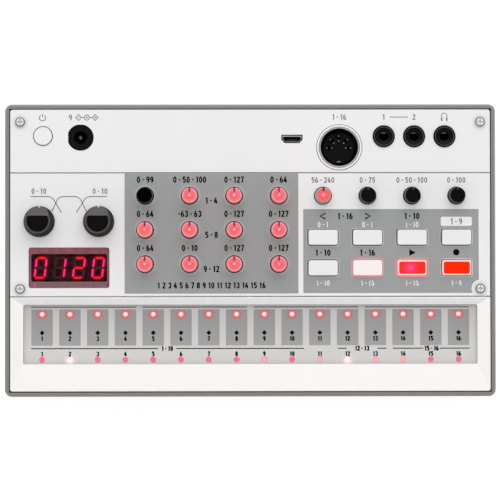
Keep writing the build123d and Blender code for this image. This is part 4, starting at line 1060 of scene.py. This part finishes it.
# The floor is plain to the light that falls on it; where it is seen, it glows white and takes a faint shadow
ground = bpy.data.materials.new("floor_white")
ground.use_nodes = True
tree = ground.node_tree
tree.nodes.clear()
path = tree.nodes.new("ShaderNodeLightPath").outputs
plain = add_node(tree, "ShaderNodeBsdfDiffuse", grey(FLOOR_GREY)).outputs[0]
thin = add_node(tree, "ShaderNodeBsdfDiffuse", grey(FLOOR_SHADOW)).outputs[0]
white = add_node(tree, "ShaderNodeEmission", WHITE, FLOOR_GLOW).outputs[0]
seen = path["Is Camera Ray"]
for kind in ("Is Glossy Ray", "Is Transmission Ray"):
    seen = add_node(tree, "ShaderNodeMath", seen, path[kind], operation="MAXIMUM").outputs[0]
bright = add_node(tree, "ShaderNodeAddShader", thin, white).outputs[0]
pick = add_node(tree, "ShaderNodeMixShader", seen, plain, bright).outputs[0]
add_node(tree, "ShaderNodeOutputMaterial", pick)
floor_mesh.materials.append(ground)

# Bright round the horizon and dark overhead, by the height of the ray
SKY = [(0.0, 0.66), (0.64, 0.74), (0.86, 0.05), (1.0, 0.03)]
world = bpy.data.worlds.new("studio")
scene.world = world
world.use_nodes = True
tree = world.node_tree
ray = tree.nodes.new("ShaderNodeTexCoord").outputs["Generated"]
up = add_node(tree, "ShaderNodeSeparateXYZ", ray).outputs["Z"]
sky = tree.nodes["Background"].inputs
feed(tree, sky["Color"], add_ramp(tree, up, [(at, grey(level)) for at, level in SKY]))
sky["Strength"].default_value = 1.0


def lamp(name, place, aim, size, watts, mirrored=True):
    data = bpy.data.lights.new(name, "AREA")
    data.size = size
    data.energy = watts
    made = bpy.data.objects.new(name, data)
    made.location = place
    made.rotation_euler = (Vector(aim) - Vector(place)).to_track_quat("-Z", "Y").to_euler()
    made.visible_glossy = mirrored
    scene.collection.objects.link(made)


lamp("key", place=(0.05, 1.25, 1.5), aim=(0.0, 0.0, 0.02), size=2.2, watts=19.0)
lamp("overhead", place=(0.0, 0.0, 1.7), aim=(0.0, 0.0, 0.0), size=1.2, watts=9.5, mirrored=False)

AIM, DISTANCE, LENS_LENGTH, SENSOR = (-0.00018, 0.00012, PANEL * MM), 0.92, 168.5, 36.0
TILT, SIDEWAYS, ROLL = math.radians(1.1), math.radians(0.5), math.radians(-0.078)
camera_data = bpy.data.cameras.new("camera")
camera_data.lens = LENS_LENGTH
camera_data.sensor_width = SENSOR
camera = bpy.data.objects.new("camera", camera_data)
camera.location = (AIM[0] - DISTANCE * math.sin(SIDEWAYS), AIM[1] - DISTANCE * math.sin(TILT),
                   AIM[2] + DISTANCE * math.cos(TILT) * math.cos(SIDEWAYS))
camera.rotation_euler = (TILT, -SIDEWAYS, ROLL)
scene.collection.objects.link(camera)
scene.camera = camera
